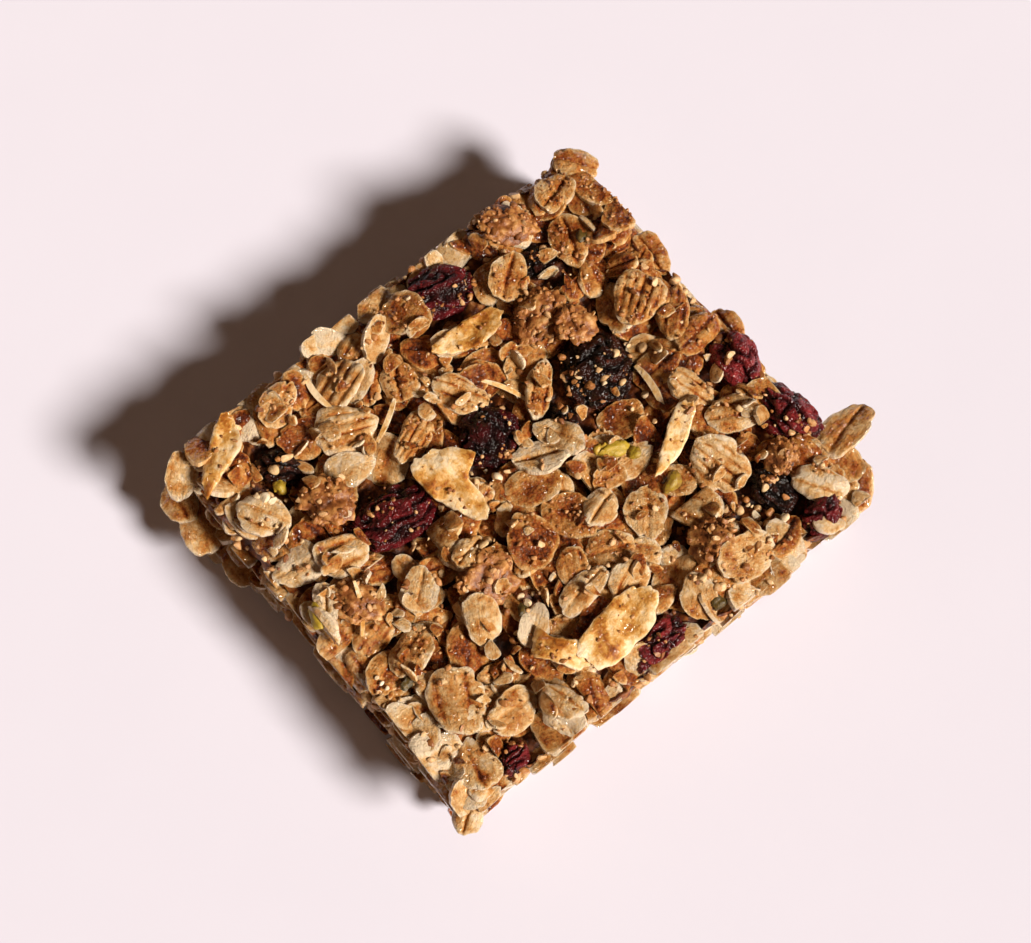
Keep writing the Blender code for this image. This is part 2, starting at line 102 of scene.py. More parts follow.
# name, kind, x, y, length, width, height, turn in degrees, middle's height above the block's top,
# and how light its skin is
BERRIES = [
    ("cranberry_1", "cranberry", 10.5, 33.4, 13.0, 8.5, 6.5, -20, -0.6, 0.45),
    ("cranberry_2", "cranberry", -20.0, 8.2, 13.5, 9.5, 7.0, -8, -0.5, 0.40),
    ("cranberry_3", "cranberry", 1.0, 9.0, 10.5, 11.0, 7.0, 30, -0.7, 0.05),
    ("cranberry_4", "cranberry", 41.6, -6.4, 7.6, 10.6, 8.0, -12, -1.6, 0.75),
    ("cranberry_5", "cranberry", 41.9, -18.6, 8.4, 13.0, 8.5, 8, -1.8, 0.70),
    ("cranberry_6", "cranberry", 35.6, -35.2, 8.6, 6.4, 6.5, 10, -1.8, 0.50),
    ("cranberry_7", "cranberry", 0.2, -34.6, 11.5, 6.6, 6.5, 6, -1.2, 0.65),
    ("cranberry_8", "cranberry", -29.6, -34.4, 6.0, 4.6, 5.0, 20, -1.4, 0.60),
    ("raisin_1", "raisin", 22.0, 6.8, 12.8, 12.4, 8.0, 12, -0.6, 0.50),
    ("raisin_2", "raisin", 12.2, 3.6, 5.6, 5.2, 6.0, 70, -1.4, 0.50),
    ("raisin_3", "raisin", -29.0, 26.6, 8.0, 6.0, 5.5, -50, -1.6, 0.50),
    ("raisin_4", "raisin", 26.6, 27.6, 7.0, 5.4, 5.0, -10, -1.8, 0.50),
    ("raisin_5", "raisin", 31.8, -27.0, 6.4, 9.4, 6.5, 8, -1.3, 0.50),
]
# name, x, y, length, width, turn, height of its middle above the block's top, browning
CHIPS = [
    ("coconut_chip_1", -10.4, 5.6, 15.0, 7.4, -80, 2.2, 0.35),
    ("coconut_chip_2", -1.6, -28.0, 16.5, 8.4, 14, 2.1, 0.50),
    ("coconut_chip_3", -14.0, -25.4, 10.0, 6.2, -62, 1.6, 0.50),
    ("coconut_chip_4", -35.8, 33.8, 14.0, 4.6, 40, 1.9, 0.65),
    ("coconut_chip_5", 24.6, -10.6, 14.5, 3.6, 25, 1.9, 0.20),
    ("coconut_chip_6", 9.0, 25.0, 14.0, 5.2, -12, 2.0, 0.95),
]
# The corners of each chip's outline, about its middle
CHIP_CORNERS = {
    "coconut_chip_1": ((-3, 7.5), (1.5, 7), (5, 5.5), (7.5, 2), (3.5, 0), (3.5, -6), (1, -8), (-3, 1)),
    "coconut_chip_2": ((7.5, 0), (3, -4.5), (-8, -5.5), (-10, -1), (-9, 1.5), (3, 3.5)),
    "coconut_chip_3": ((-3.5, 1.5), (0.5, 5.5), (1, 2), (4, -1), (5.5, -3), (3.5, -5.5), (1, -5), (-2, 0)),
    "coconut_chip_4": ((2, 4), (4.5, 5.5), (6, 4.5), (4, -1.5), (0, -2.5), (-6.5, -5), (-4, -0.5)),
    "coconut_chip_5": ((3.5, 4.5), (6, 2), (-0.5, -2.5), (-8, -3.5), (-3.5, 0)),
    "coconut_chip_6": ((-7, 1.5), (-1, 2), (5.5, 1), (7, -1), (4, -3.5), (-1.5, -3), (-6, -0.5)),
}
CHIP_SIDE_STEPS = 8
CHIP_ROUNDING = range(-2, 3)
# Flakes that the top shows whole: x, y, length, width, turn, tilt, lengthwise ridges, browning
TOP_OATS = [
    (-17.0, 24.6, 11.0, 8.0, -25, 6, 5, 0.35),
    (-13.0, 31.2, 9.5, 7.5, 15, -8, 4, 0.45),
    (-3.4, 33.6, 9.0, 4.6, 36, 18, 0, 0.35),
    (3.0, 33.6, 8.6, 7.4, -60, 4, 0, 0.65),
    (-5.0, 25.4, 7.0, 6.4, 60, 0, 0, 0.60),
    (20.5, 28.0, 9.0, 6.4, 40, -10, 0, 0.55),
    (33.0, 27.0, 9.0, 7.0, 70, 6, 0, 0.65),
    (1.6, 17.4, 9.4, 6.4, -58, 4, 4, 0.40),
    (-9.0, 16.4, 10.0, 5.6, 24, 10, 5, 0.50),
    (-36.4, 21.6, 9.0, 6.8, -60, 4, 3, 0.25),
    (-37.0, 11.6, 9.0, 6.4, -6, -6, 0, 0.15),
    (-30.4, 8.4, 9.4, 6.8, -18, 4, 2, 0.30),
    (5.2, 0.6, 9.4, 6.2, -32, -6, 0, 0.20),
    (9.6, 1.6, 9.0, 5.4, -64, 8, 0, 0.35),
    (12.2, 10.0, 10.4, 4.6, 40, 4, 2, 0.50),
    (-24.4, -4.0, 8.0, 6.0, 42, -8, 0, 0.35),
    (-37.4, 3.6, 6.6, 4.8, 60, 8, 0, 0.20),
    (-5.2, -9.0, 10.0, 8.0, 70, 6, 0, 0.90),
    (2.4, -9.8, 9.4, 7.6, -70, -4, 0, 0.75),
    (7.2, -12.0, 7.6, 5.4, 14, -6, 0, 0.30),
    (27.0, -18.6, 10.8, 9.2, -76, 6, 6, 0.35),
    (34.8, -13.4, 9.6, 6.4, -32, -6, 3, 0.45),
    (32.0, -5.6, 8.6, 5.4, -68, 6, 3, 0.40),
    (11.6, -8.6, 6.0, 4.6, -6, 4, 0, 0.65),
    (-3.6, -20.6, 10.4, 5.0, 8, 10, 0, 0.40),
    (-18.0, -32.6, 8.0, 5.2, -76, 6, 2, 0.30),
    (-25.4, -28.6, 10.0, 6.6, -4, 4, 0, 0.45),
    (-35.0, -31.6, 9.0, 7.0, 70, -4, 2, 0.40),
    (-31.0, -21.8, 11.4, 9.6, 62, 4, 2, 0.45),
    (-31.6, -10.8, 9.0, 6.8, 24, -6, 0, 0.50),
    (-19.6, -14.2, 9.0, 6.0, 62, 8, 0, 0.45),
    (20.2, -33.0, 10.4, 8.0, -14, 4, 0, 0.50),
    (38.0, -31.4, 9.6, 6.0, -58, 8, 2, 0.15),
    (35.0, 11.6, 10.4, 8.4, 30, 8, 6, 0.60),
    (38.8, 0.8, 9.0, 5.6, 8, -6, 2, 0.80),
    (42.2, 32.0, 10.0, 6.0, -76, -14, 0, 0.75),
    (42.4, 25.0, 8.0, 6.2, 30, -10, 0, 0.75),
    (36.4, 35.0, 7.6, 6.4, 20, 6, 0, 0.55),
    (12.6, -17.2, 9.4, 7.0, 56, -6, 0, 0.45),
    (4.0, -18.0, 9.0, 6.0, -20, 4, 0, 0.55),
    (-14.4, -4.4, 6.4, 5.0, 20, 8, 0, 0.45),
    (-40.4, 1.0, 8.0, 4.4, 82, -22, 0, 0.30),
    (-23.0, 34.6, 8.4, 5.6, 20, 6, 0, 0.50),
]
# Flakes that stand out past the cut sides, with the height of the middle above the block's top
OUTER_OATS = [
    (48.0, -27.0, 11.6, 6.8, 8, -18, 0, 0.50, -1.4),
    (44.4, -30.6, 8.6, 5.6, 78, -6, 0, 0.70, -1.9),
    (43.4, -35.6, 10.6, 4.8, 40, -26, 0, 0.75, -2.6),
    (40.6, -34.4, 8.0, 5.6, 20, -8, 0, 0.55, -2.6),
    (-44.6, 28.6, 9.6, 7.0, 66, 10, 0, 0.55, -9.6),
    (-43.0, 20.6, 8.0, 6.0, 84, 6, 0, 0.55, -12.6),
    (-42.4, 35.6, 8.0, 5.4, 50, 8, 0, 0.40, -0.6),
    (-44.4, 34.6, 8.6, 6.0, 74, 4, 0, 0.50, -8.6),
    (43.0, 37.0, 8.4, 5.4, -50, -8, 0, 0.60, -0.8),
    (42.6, 17.0, 8.6, 6.0, 84, -10, 0, 0.65, -2.0),
    (44.2, -1.0, 8.0, 5.6, 76, -10, 0, 0.75, -2.4),
    (-40.6, -36.4, 7.6, 5.0, 40, 6, 0, 0.35, -2.0),
]
# Coconut shreds: x, y, length, turn
SHREDS = [
    (-17.0, 32.4, 7.0, 88),
    (-10.6, 21.4, 8.0, 30),
    (27.6, -1.4, 9.4, 82),
    (-33.6, -0.6, 9.0, 60),
    (8.0, 13.8, 8.0, -62),
]
# Lumps of crumb: x, y, size
CLUSTERS = [
    (-26.6, 16.8, 9.0),
    (-15.0, -9.6, 9.5),
    (-33.4, 0.8, 8.0),
    (20.0, 19.6, 9.0),
    (24.0, 14.6, 8.0),
    (17.6, -27.4, 8.0),
    (36.0, -24.0, 6.0),
    (26.0, 35.0, 8.5),
]
# Groups of puffed grains: x, y, count, spread
GRAIN_GROUPS = [
    (28.6, -28.0, 12, 5.0),
    (22.0, 6.8, 7, 5.5),
    (-33.0, 24.0, 5, 3.0),
    (14.0, -30.0, 7, 4.0),
    (-14.5, -31.5, 3, 1.0),
    (-12.5, -4.5, 6, 2.4),
    (15.5, -36.0, 3, 1.2),
    (-4.5, 5.0, 4, 2.0),
]
STRAY_GROUPS = 10
STRAY_GROUP = (3, 3.0)
# Bits of green seed: x, y, length, width, turn, greenness from yellow to dark
SEEDS = [
    (15.5, -5.5, 4.6, 3.0, -20, 0.25),
    (13.4, -4.4, 2.4, 2.0, 30, 0.10),
    (17.6, -8.2, 2.4, 2.2, 0, 0.35),
    (-40.0, 2.6, 4.6, 3.0, 70, 0.25),
    (19.0, -16.0, 4.0, 2.6, 30, 0.45),
    (-35.5, -14.5, 2.4, 1.8, 10, 0.95),
    (-23.5, -33.5, 3.6, 2.2, 20, 0.95),
    (12.0, -36.0, 2.6, 2.2, 0, 0.95),
    (34.5, 26.0, 2.4, 1.8, 40, 0.90),
    (-13.5, -17.0, 2.2, 1.8, 60, 0.95),
    (-31.0, 24.0, 3.0, 2.4, 20, 0.35),
]

# Each material's shades, from where on its ramp, as red, green and blue
SHADES = {
    "toasted_oat": (
        (0.0, 0.83, 0.65, 0.45),
        (0.24, 0.74, 0.46, 0.205),
        (0.48, 0.56, 0.235, 0.052),
        (0.74, 0.32, 0.066, 0.006),
        (1.0, 0.08, 0.011, 0.002),
    ),
    "toasted_coconut": (
        (0.0, 0.84, 0.65, 0.42),
        (0.25, 0.76, 0.49, 0.22),
        (0.5, 0.60, 0.29, 0.062),
        (0.75, 0.38, 0.12, 0.015),
        (1.0, 0.16, 0.035, 0.006),
    ),
    "cranberry_skin": (
        (0.0, 0.005, 0.0006, 0.0006),
        (0.42, 0.024, 0.0015, 0.0018),
        (0.75, 0.105, 0.006, 0.008),
        (1.0, 0.26, 0.022, 0.022),
    ),
    "raisin_skin": (
        (0.0, 0.003, 0.001, 0.0008),
        (0.55, 0.007, 0.002, 0.0015),
        (0.85, 0.034, 0.006, 0.003),
        (1.0, 0.14, 0.026, 0.012),
    ),
    "crumb": (
        (0.0, 0.012, 0.002, 0.001),
        (0.4, 0.09, 0.018, 0.003),
        (0.7, 0.27, 0.080, 0.015),
        (1.0, 0.52, 0.24, 0.08),
    ),
    "cluster_crumb": (
        (0.0, 0.06, 0.015, 0.004),
        (0.35, 0.24, 0.075, 0.018),
        (0.65, 0.46, 0.20, 0.055),
        (1.0, 0.70, 0.44, 0.20),
    ),
    "puffed_grain": ((0.0, 0.82, 0.70, 0.52), (0.5, 0.64, 0.42, 0.21), (1.0, 0.34, 0.14, 0.035)),
    "crumb_bits": ((0.0, 0.72, 0.48, 0.25), (0.45, 0.44, 0.18, 0.05), (1.0, 0.12, 0.026, 0.006)),
    "seed_flesh": (
        (0.0, 0.56, 0.34, 0.05),
        (0.25, 0.40, 0.27, 0.02),
        (0.45, 0.24, 0.13, 0.02),
        (1.0, 0.010, 0.014, 0.007),
    ),
}
COAT_IOR = 1.4
SUBSURFACE_DEPTH = 0.0008

# The photograph's camera, with its aim in the block's millimetres
LENS = 85.0
SENSOR = 36.0
AIM = (1.912, 2.979, 10.0)
CAMERA_DISTANCE = 407.0
CAMERA_AZIMUTH = -49.475
CAMERA_ELEVATION = 75.56
CAMERA_ROLL = 10.29
# The floor, in metres
FLOOR_REACH = 12.0
FLOOR_GAP = 0.0001


def block_to_frame():
    """How far the frame's origin lies from the block's middle, in millimetres."""
    name, x, y = CHIPS[4][:3]
    low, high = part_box(name)
    middle = (low + high) / 2 / MM
    return np.array([middle.x - x, middle.y - y, 0.0])


# Shapes


def waves(x, y, draw, pitch, count=4):
    """A smooth uneven field from a few crossed waves, between -1 and 1."""
    total = np.zeros_like(x)
    for _ in range(count):
        turn = draw.uniform(0, math.tau)
        step = pitch * draw.uniform(0.6, 1.5)
        start = draw.uniform(0, math.tau)
        total += np.sin((x * math.cos(turn) + y * math.sin(turn)) * step + start)
    return total / count


class Sheet:
    """A disc laid out on a square grid, once above and once below, with the faces that close it."""

    def __init__(self, along, across):
        u, v = np.meshgrid(np.linspace(-1, 1, along + 1), np.linspace(-1, 1, across + 1), indexing="ij")
        self.u, self.v = u.ravel(), v.ravel()
        self.x = self.u * np.sqrt(1 - self.v**2 / 2)
        self.y = self.v * np.sqrt(1 - self.u**2 / 2)
        self.reach = np.sqrt(self.x**2 + self.y**2)
        self.angle = np.arctan2(self.y, self.x)
        index = np.arange(u.size).reshape(u.shape)
        ring = (index[:-1, :-1], index[1:, :-1], index[1:, 1:], index[:-1, 1:])
        top = np.stack(ring, -1).reshape(-1, 4)
        loop = np.concatenate([index[:, 0], index[-1, 1:], index[-2::-1, -1], index[0, -2:0:-1]])
        after = np.roll(loop, -1)
        side = np.stack([loop, loop + u.size, after + u.size, after], -1)
        self.faces = np.concatenate([top, top[:, ::-1] + u.size, side])


FINE_SHEET = Sheet(24, 22)
FILL_SHEET = Sheet(12, 10)
EDGE_SHEET = Sheet(7, 5)


def two_sides(x, y, top, under):
    """The points of a sheet's upper and lower side."""
    return np.concatenate([np.stack([x, y, top], -1), np.stack([x, y, under], -1)])


def add_object(name, data):
    made = bpy.data.objects.new(name, data)
    bpy.context.scene.collection.objects.link(made)
    return made


def place_food(mesh, look, slot):
    """Puts a mesh in the scene as a piece of the bar, with its material."""
    piece = add_object(mesh.name, mesh)
    mesh.materials.append(look)
    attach(piece, "root")
    return piece


class Pile:
    """Many small closed pieces gathered into one mesh, each point with its browning and its grain."""

    def __init__(self, name):
        self.name = name
        self.points, self.faces, self.tone, self.rim = [], [], [], []
        self.grain, self.crease = [], []
        self.count = 0

    def add(self, points, faces, tone, rim, grain, crease=None):
        self.points.append(points)
        self.faces.append(faces + self.count)
        self.tone.append(np.full(len(points), tone))
        self.rim.append(rim)
        self.grain.append(grain)
        self.crease.append(np.zeros(len(points)) if crease is None else crease)
        self.count += len(points)

    def rest(self, first_share):
        """Flattens each piece underneath, at its own small height, so that no two share a face."""
        for index, points in enumerate(self.points):
            height = FOOT_DEPTH * ((first_share + index * GOLDEN_SHARE) % 1)
            points[:, 2] = np.maximum(points[:, 2], height)

    def build(self, look, slot):
        points = (np.concatenate(self.points) + SHIFT) * MM
        faces = np.concatenate(self.faces)
        corners = faces.shape[1]
        mesh = bpy.data.meshes.new(self.name)
        mesh.vertices.add(len(points))
        mesh.vertices.foreach_set("co", points.ravel())
        mesh.loops.add(faces.size)
        mesh.loops.foreach_set("vertex_index", faces.ravel())
        mesh.polygons.add(len(faces))
        mesh.polygons.foreach_set("loop_start", np.arange(0, faces.size, corners))
        mesh.update(calc_edges=True)
        mesh.shade_smooth()
        mesh.set_sharp_from_angle(angle=SHARP_ANGLE)
        for name, kind, field, values in (
            ("tone", "FLOAT", "value", self.tone),
            ("rim", "FLOAT", "value", self.rim),
            ("crease", "FLOAT", "value", self.crease),
            ("grain", "FLOAT_VECTOR", "vector", self.grain),
        ):
            layer = mesh.attributes.new(name, kind, "POINT")
            layer.data.foreach_set(field, np.concatenate(values).ravel().astype(np.float32))
        return place_food(mesh, look, slot)


def random_place(draw):
    """Where in the grain's pattern a piece starts, so that no two pieces share their mottling."""
    return np.array([draw.uniform(0, PATTERN_REACH) for _ in range(3)])


def random_spot(draw, inset):
    """A random place on the block's top, at least so far in from its sides."""
    x = draw.uniform(LOW_X + inset, HIGH_X - inset)
    return x, draw.uniform(LOW_Y + inset, HIGH_Y - inset)


def share(value):
    """The value kept between 0 and 1."""
    return min(1.0, max(0.0, value))


def turn_matrix(turn, slope_x=0.0, slope_y=0.0, tilt=0.0):
    """Axes of a piece that lies on a slope, turned about its upright, and tilted about its length."""
    up = Vector((-slope_x, -slope_y, 1.0)).normalized()
    heading = Vector((math.cos(math.radians(turn)), math.sin(math.radians(turn)), 0.0))
    along = (heading - up * heading.dot(up)).normalized()
    across = up.cross(along)
    if tilt:
        rock = Matrix.Rotation(math.radians(tilt), 3, along)
        up, across = rock @ up, rock @ across
    return np.array([along, across, up]).T


def flake_points(sheet, draw, length, width, thickness, ridges=0, flatness=1.0):
    """A rolled oat: lobes along a crease or a few ridges, round at its uneven rim, bowed as it dried."""
    x, y, reach, angle = sheet.x, sheet.y, sheet.reach, sheet.angle
    rim = np.ones_like(x)
    for harmonic, size in ((2, 0.04), (3, 0.05), (4, 0.03), (6, 0.022), (10, 0.014), (15, 0.01)):
        rim += size * np.sin(harmonic * angle + draw.uniform(0, math.tau))
    for _ in range(draw.choice((0, 0, 1, 1, 2))):
        away = np.angle(np.exp(1j * (angle - draw.uniform(0, math.tau))))
        rim -= draw.uniform(0.06, 0.2) * np.exp(-((away / draw.uniform(0.08, 0.2)) ** 2))
    spread = 1 + (rim - 1) * reach**3
    egg = draw.uniform(-0.2, 0.2)
    px = x * spread * length / 2
    py = y * spread * width / 2 * (1 - egg * x)
    line = 0.16 * np.sin(1.7 * x + draw.uniform(0, math.tau)) * draw.uniform(0.2, 1.0)
    top = thickness / 2 * (1 - 0.3 * reach**6)
    plump = min(1.0, width / 5.0)
    if ridges:
        phase = (y - line * 0.5) * math.pi * ridges / 2 + draw.uniform(0, math.pi)
        crease = np.exp(-((np.sin(phase) / 0.3) ** 2)) * (1 - reach**8)
        top += plump * (draw.uniform(0.4, 0.6) * np.abs(np.sin(phase)) ** 0.7 * (1 - reach**6) - 0.2)
    else:
        from_line = y - line
        depth = draw.choice((0.15, 0.4, 0.8))
        crease = np.exp(-((from_line / 0.09) ** 2)) * (1 - reach**8) * depth
        lobes = np.sin(math.pi * np.clip(np.abs(from_line), 0, 1) ** 0.75)
        top += plump * (0.30 * lobes * (1 - reach**4) * depth - 0.55 * crease)
    top += 0.16 * waves(px, py, draw, 1.6) + 0.10 * waves(px, py, draw, 5.5)
    under = -thickness / 2 * (1 - 0.3 * reach**6)
    bend = draw.uniform(-0.6, 0.4) * x**2 + draw.uniform(-0.8, 0.4) * y**2
    bend += draw.uniform(-0.5, 0.5) * x * y
    bend += 0.35 * waves(px, py, draw, 0.7)
    bend *= flatness * plump
    none = np.zeros_like(x)
    grain = two_sides(px, py, none, none) + random_place(draw)
    points = two_sides(px, py, top + bend, under + bend)
    return points, np.tile(reach, 2), grain, np.concatenate([crease, none])


def trim(points, rim, cuts):
    """Cuts a flake off at the block's sides, as the knife did, leaving a pale cut edge."""
    for axis, outward, wall in cuts:
        beyond = (points[:, axis] - wall) * outward
        over = beyond > 0
        points[over, axis] = wall + outward * CUT_SOFTNESS * np.tanh(beyond[over] / 1.5)
        rim[beyond > 1.0] = 1.0


def top_cuts(draw, x, y):
    """Where the four sides cut what lies on top, a little differently for each piece."""
    cuts = []
    for axis, fixed, _, _, outward in WALLS:
        out = side_out(axis, outward, x if axis == 1 else y)
        cuts.append((axis, outward, fixed + out + outward * draw.gauss(-0.1, SIDE_LOOSE[axis])))
    return cuts


def break_across(draw, place, width):
    """A straight break through a flake, near its middle."""
    axis, outward = draw.choice((0, 1)), draw.choice((-1, 1))
    return axis, outward, place[axis] + outward * width * draw.uniform(0.05, 0.35)


def add_flake(pile, sheet, draw, place, axes, length, width, tone, ridges=0, flatness=1.0, cuts=()):
    thickness = OAT_THICKNESS * draw.uniform(0.8, 1.2) * min(1.0, 0.25 + width / 7.0)
    points, rim, grain, crease = flake_points(sheet, draw, length, width, thickness, ridges, flatness)
    points = points @ axes.T + np.array(place)
    trim(points, rim, cuts)
    pile.add(points, sheet.faces, tone, rim, grain, crease)


def in_oval(dx, dy, length, width, turn):
    """Places around a turned oval's middle, as shares of its half length and its half width."""
    c, s = math.cos(math.radians(turn)), math.sin(math.radians(turn))
    return (dx * c + dy * s) / (length / 2), (dy * c - dx * s) / (width / 2)


class Bed:
    """How high the pieces laid so far reach, on an even grid over the top of the block."""

    def __init__(self):
        self.x = np.arange(LOW_X - 6, HIGH_X + 6, BED_STEP)
        self.y = np.arange(LOW_Y - 6, HIGH_Y + 6, BED_STEP)
        grid_x, grid_y = np.meshgrid(self.x, self.y, indexing="ij")
        inside = (grid_x > LOW_X) & (grid_x < HIGH_X) & (grid_y > LOW_Y) & (grid_y < HIGH_Y)
        self.inside = inside
        self.height = np.where(inside, CORE_TOP + 0.3, CORE_TOP - 1.5)
        self.kept = np.zeros_like(inside)

    def footprint(self, x, y, length, width, turn):
        """The cells under an oval piece: their place in the grid, and how far each is from its middle."""
        reach = max(length, width) / 2
        i0, i1 = np.searchsorted(self.x, (x - reach, x + reach))
        j0, j1 = np.searchsorted(self.y, (y - reach, y + reach))
        dx, dy = np.meshgrid(self.x[i0:i1] - x, self.y[j0:j1] - y, indexing="ij")
        along, across = in_oval(dx, dy, length, width, turn)
        return (slice(i0, i1), slice(j0, j1)), dx, dy, along**2 + across**2

    def seat(self, x, y, length, width, turn, steepest=0.45):
        """The height and slopes at which a piece comes to rest on what lies under it."""
        cells, dx, dy, oval = self.footprint(x, y, length, width, turn)
        under = (oval < 0.9) & self.inside[cells]
        if under.sum() < 8:
            return BLOCK_HEIGHT, 0.0, 0.0
        heights, dx, dy = self.height[cells][under], dx[under], dy[under]
        fit = np.linalg.lstsq(np.stack([dx, dy, np.ones_like(dx)], -1), heights, rcond=None)[0]
        slope = math.hypot(fit[0], fit[1])
        eased = min(1.0, steepest / slope) if slope > 0 else 1.0
        slope_x, slope_y = fit[0] * eased, fit[1] * eased
        level = np.percentile(heights - slope_x * dx - slope_y * dy, 88)
        return level, slope_x, slope_y

    def raise_to(self, cells, oval, top):
        self.height[cells] = np.where(oval < 1, np.maximum(self.height[cells], top), self.height[cells])

    def cover(self, x, y, length, width, turn, level, slope_x, slope_y, thickness):
        """Raises the bed by a piece that lies there."""
        cells, dx, dy, oval = self.footprint(x, y, length, width, turn)
        top = level + slope_x * dx + slope_y * dy + thickness * (1 - 0.4 * np.clip(oval, 0, 1))
        self.raise_to(cells, oval, top)

    def dome(self, x, y, length, width, turn, top, drop, keep=False):
        """Raises the bed by a rounded piece whose top and fall to the rim are known."""
        cells, _, _, oval = self.footprint(x, y, length, width, turn)
        level = top - drop * np.clip(oval, 0, 1)
        self.raise_to(cells, oval, level)
        if keep:
            self.kept[cells] |= oval < 0.8

    def at(self, x, y):
        i = min(max(int((x - self.x[0]) / BED_STEP), 0), len(self.x) - 1)
        j = min(max(int((y - self.y[0]) / BED_STEP), 0), len(self.y) - 1)
        return self.height[i, j], self.kept[i, j]


def side_out(axis, outward, along):
    """How far a side stands out from the plain block at a place along it."""
    heading = 1 if outward > 0 else -1
    out, growth = SIDE_OUT[axis, heading]
    return heading * (out + growth * along)


def shape_block_point(x, y, z):
    """Moves a point of the plain box to where the pressed and cut block has it."""
    depth = 1 - z / BLOCK_HEIGHT
    across = (x - (LOW_X + HIGH_X) / 2) / ((HIGH_X - LOW_X) / 2)
    along = (y - (LOW_Y + HIGH_Y) / 2) / ((HIGH_Y - LOW_Y) / 2)
    corner = max(0.0, abs(across) + abs(along) - CORNER_START) / CORNER_SPAN
    x -= math.copysign(corner * CORNER_ROUND * 0.5, across)
    y -= math.copysign(corner * CORNER_ROUND * 0.5, along)
    if across < -AT_SIDE:
        bulge = math.exp(-(((y - BULGE_Y) / BULGE_SPREAD) ** 2))
        x -= depth * (LEFT_FOOT + LEFT_BULGE * bulge)
    if along < -AT_SIDE:
        y += depth * FRONT_UNDERCUT
    push = SIDE_RELIEF * noise.noise(Vector((x, y, z)) * RELIEF_SCALE)
    if abs(across) > AT_SIDE:
        x += push + side_out(0, across, y)
    if abs(along) > AT_SIDE:
        y += push + side_out(1, along, x)
    return Vector((x, y, z))


def build_core(look):
    """The crumb between the flakes: the block's shape, drawn in a little and broken into small lumps."""
    low, high = (LOW_X, LOW_Y, 0.0), (HIGH_X, HIGH_Y, BLOCK_HEIGHT)
    counts = [round((high[a] - low[a]) / CORE_CELL) for a in range(3)]
    found, points, faces = {}, [], []

    def corner_at(index):
        if index not in found:
            plain = [low[a] + (high[a] - low[a]) * index[a] / counts[a] for a in range(3)]
            found[index] = len(points)
            points.append(shape_block_point(*plain))
        return found[index]

    for axis in range(3):
        first, second = [a for a in range(3) if a != axis]
        for side in (0, counts[axis]):
            for i in range(counts[first]):
                for j in range(counts[second]):
                    ring = []
                    for step_i, step_j in ((0, 0), (1, 0), (1, 1), (0, 1)):
                        index = [0, 0, 0]
                        index[axis], index[first], index[second] = side, i + step_i, j + step_j
                        ring.append(corner_at(tuple(index)))
                    outward = (side > 0) == (axis != 1)
                    faces.append(ring if outward else ring[::-1])
    mesh = bpy.data.meshes.new("crumb_core")
    mesh.from_pydata(points, [], faces)
    normals = np.zeros(len(points) * 3)
    mesh.vertices.foreach_get("normal", normals)
    normals = normals.reshape(-1, 3)
    lift = np.zeros(len(points))
    for k, point in enumerate(points):
        cell = noise.voronoi(point * CRUMB_CELL)[0][0]
        fine = noise.noise(point * 1.7)
        broad = noise.noise(point * 0.3)
        lift[k] = CRUMB_DEPTH * (0.45 - cell) + 0.25 * fine + 0.5 * broad
    placed = np.array(points) + normals * (lift - CORE_RECESS)[:, None]
    above = np.array([point.z >= BLOCK_HEIGHT for point in points])
    placed[above, 2] = CORE_TOP + lift[above]
    placed[:, 2] = np.clip(placed[:, 2], 0.25, CORE_TOP + 1.2)
    mesh.vertices.foreach_set("co", ((placed + SHIFT) * MM).ravel())
    # Each point's lift is kept as rim, for the painted shade that darkens the crumb's low places.
    layer = mesh.attributes.new("rim", "FLOAT", "POINT")
    layer.data.foreach_set("value", np.clip(0.5 + lift / 1.4, 0, 1).astype(np.float32))
    mesh.update()
    mesh.shade_smooth()
    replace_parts(place_food(mesh, look, "oats"), "oat_bar")


def lump_template(rounds):
    ball = bmesh.new()
    bmesh.ops.create_icosphere(ball, subdivisions=rounds, radius=1.0)
    points = np.array([v.co[:] for v in ball.verts])
    faces = np.array([[v.index for v in face.verts] for face in ball.faces])
    ball.free()
    return points, faces


CRUMB_BALL = lump_template(2)
GRAIN_BALL = lump_template(3)
CLUSTER_BALL = lump_template(5)
SMALL_BERRY_BALL = lump_template(5)
BERRY_BALL = lump_template(6)


def add_lump(pile, ball, draw, place, size, tone, rough=0.2, flat=1.0, turn=0.0, facets=0):
    """A grain or crumb: a ball pushed in and out by a few waves, and broken off along some planes."""
    unit, faces = ball
    x, y, z = unit.T
    swell = 1 + rough * (waves(x, y, draw, 3.0) + waves(y, z, draw, 3.0))
    points = unit * swell[:, None]
    for _ in range(facets):
        plane = np.array([draw.gauss(0, 1) for _ in range(3)])
        plane /= np.linalg.norm(plane)
        over = np.maximum(points @ plane - draw.uniform(0.35, 0.8), 0)
        points = points - over[:, None] * plane
    stretch = np.array([draw.uniform(0.85, 1.3), draw.uniform(0.75, 1.05), flat])
    points = points * stretch * size / 2
    points = points @ turn_matrix(turn, draw.gauss(0, 0.3), draw.gauss(0, 0.3)).T + np.array(place)
    # How high each point sits on the ball is kept as rim, for the painted light on the upper side.
    pile.add(points, faces, tone, np.clip((z + 1) / 2, 0, 1), unit * size / 2 + random_place(draw))


def add_crumb(pile, draw, place, size, tone, flat):
    """A broken crumb, turned at random."""
    add_lump(pile, CRUMB_BALL, draw, place, size, tone, 0.3, flat, draw.uniform(0, 180), facets=5)


def cling(pile, draw, surface, count, smallest=0.4, spread=0.8):
    """Sticks broken crumbs, most of them browned, onto points of a surface."""
    for _ in range(count):
        spot = surface[draw.randrange(len(surface))]
        size = smallest + spread * draw.random() ** 2
        add_crumb(pile, draw, spot, size, draw.uniform(0.2, 1.0), 0.75)


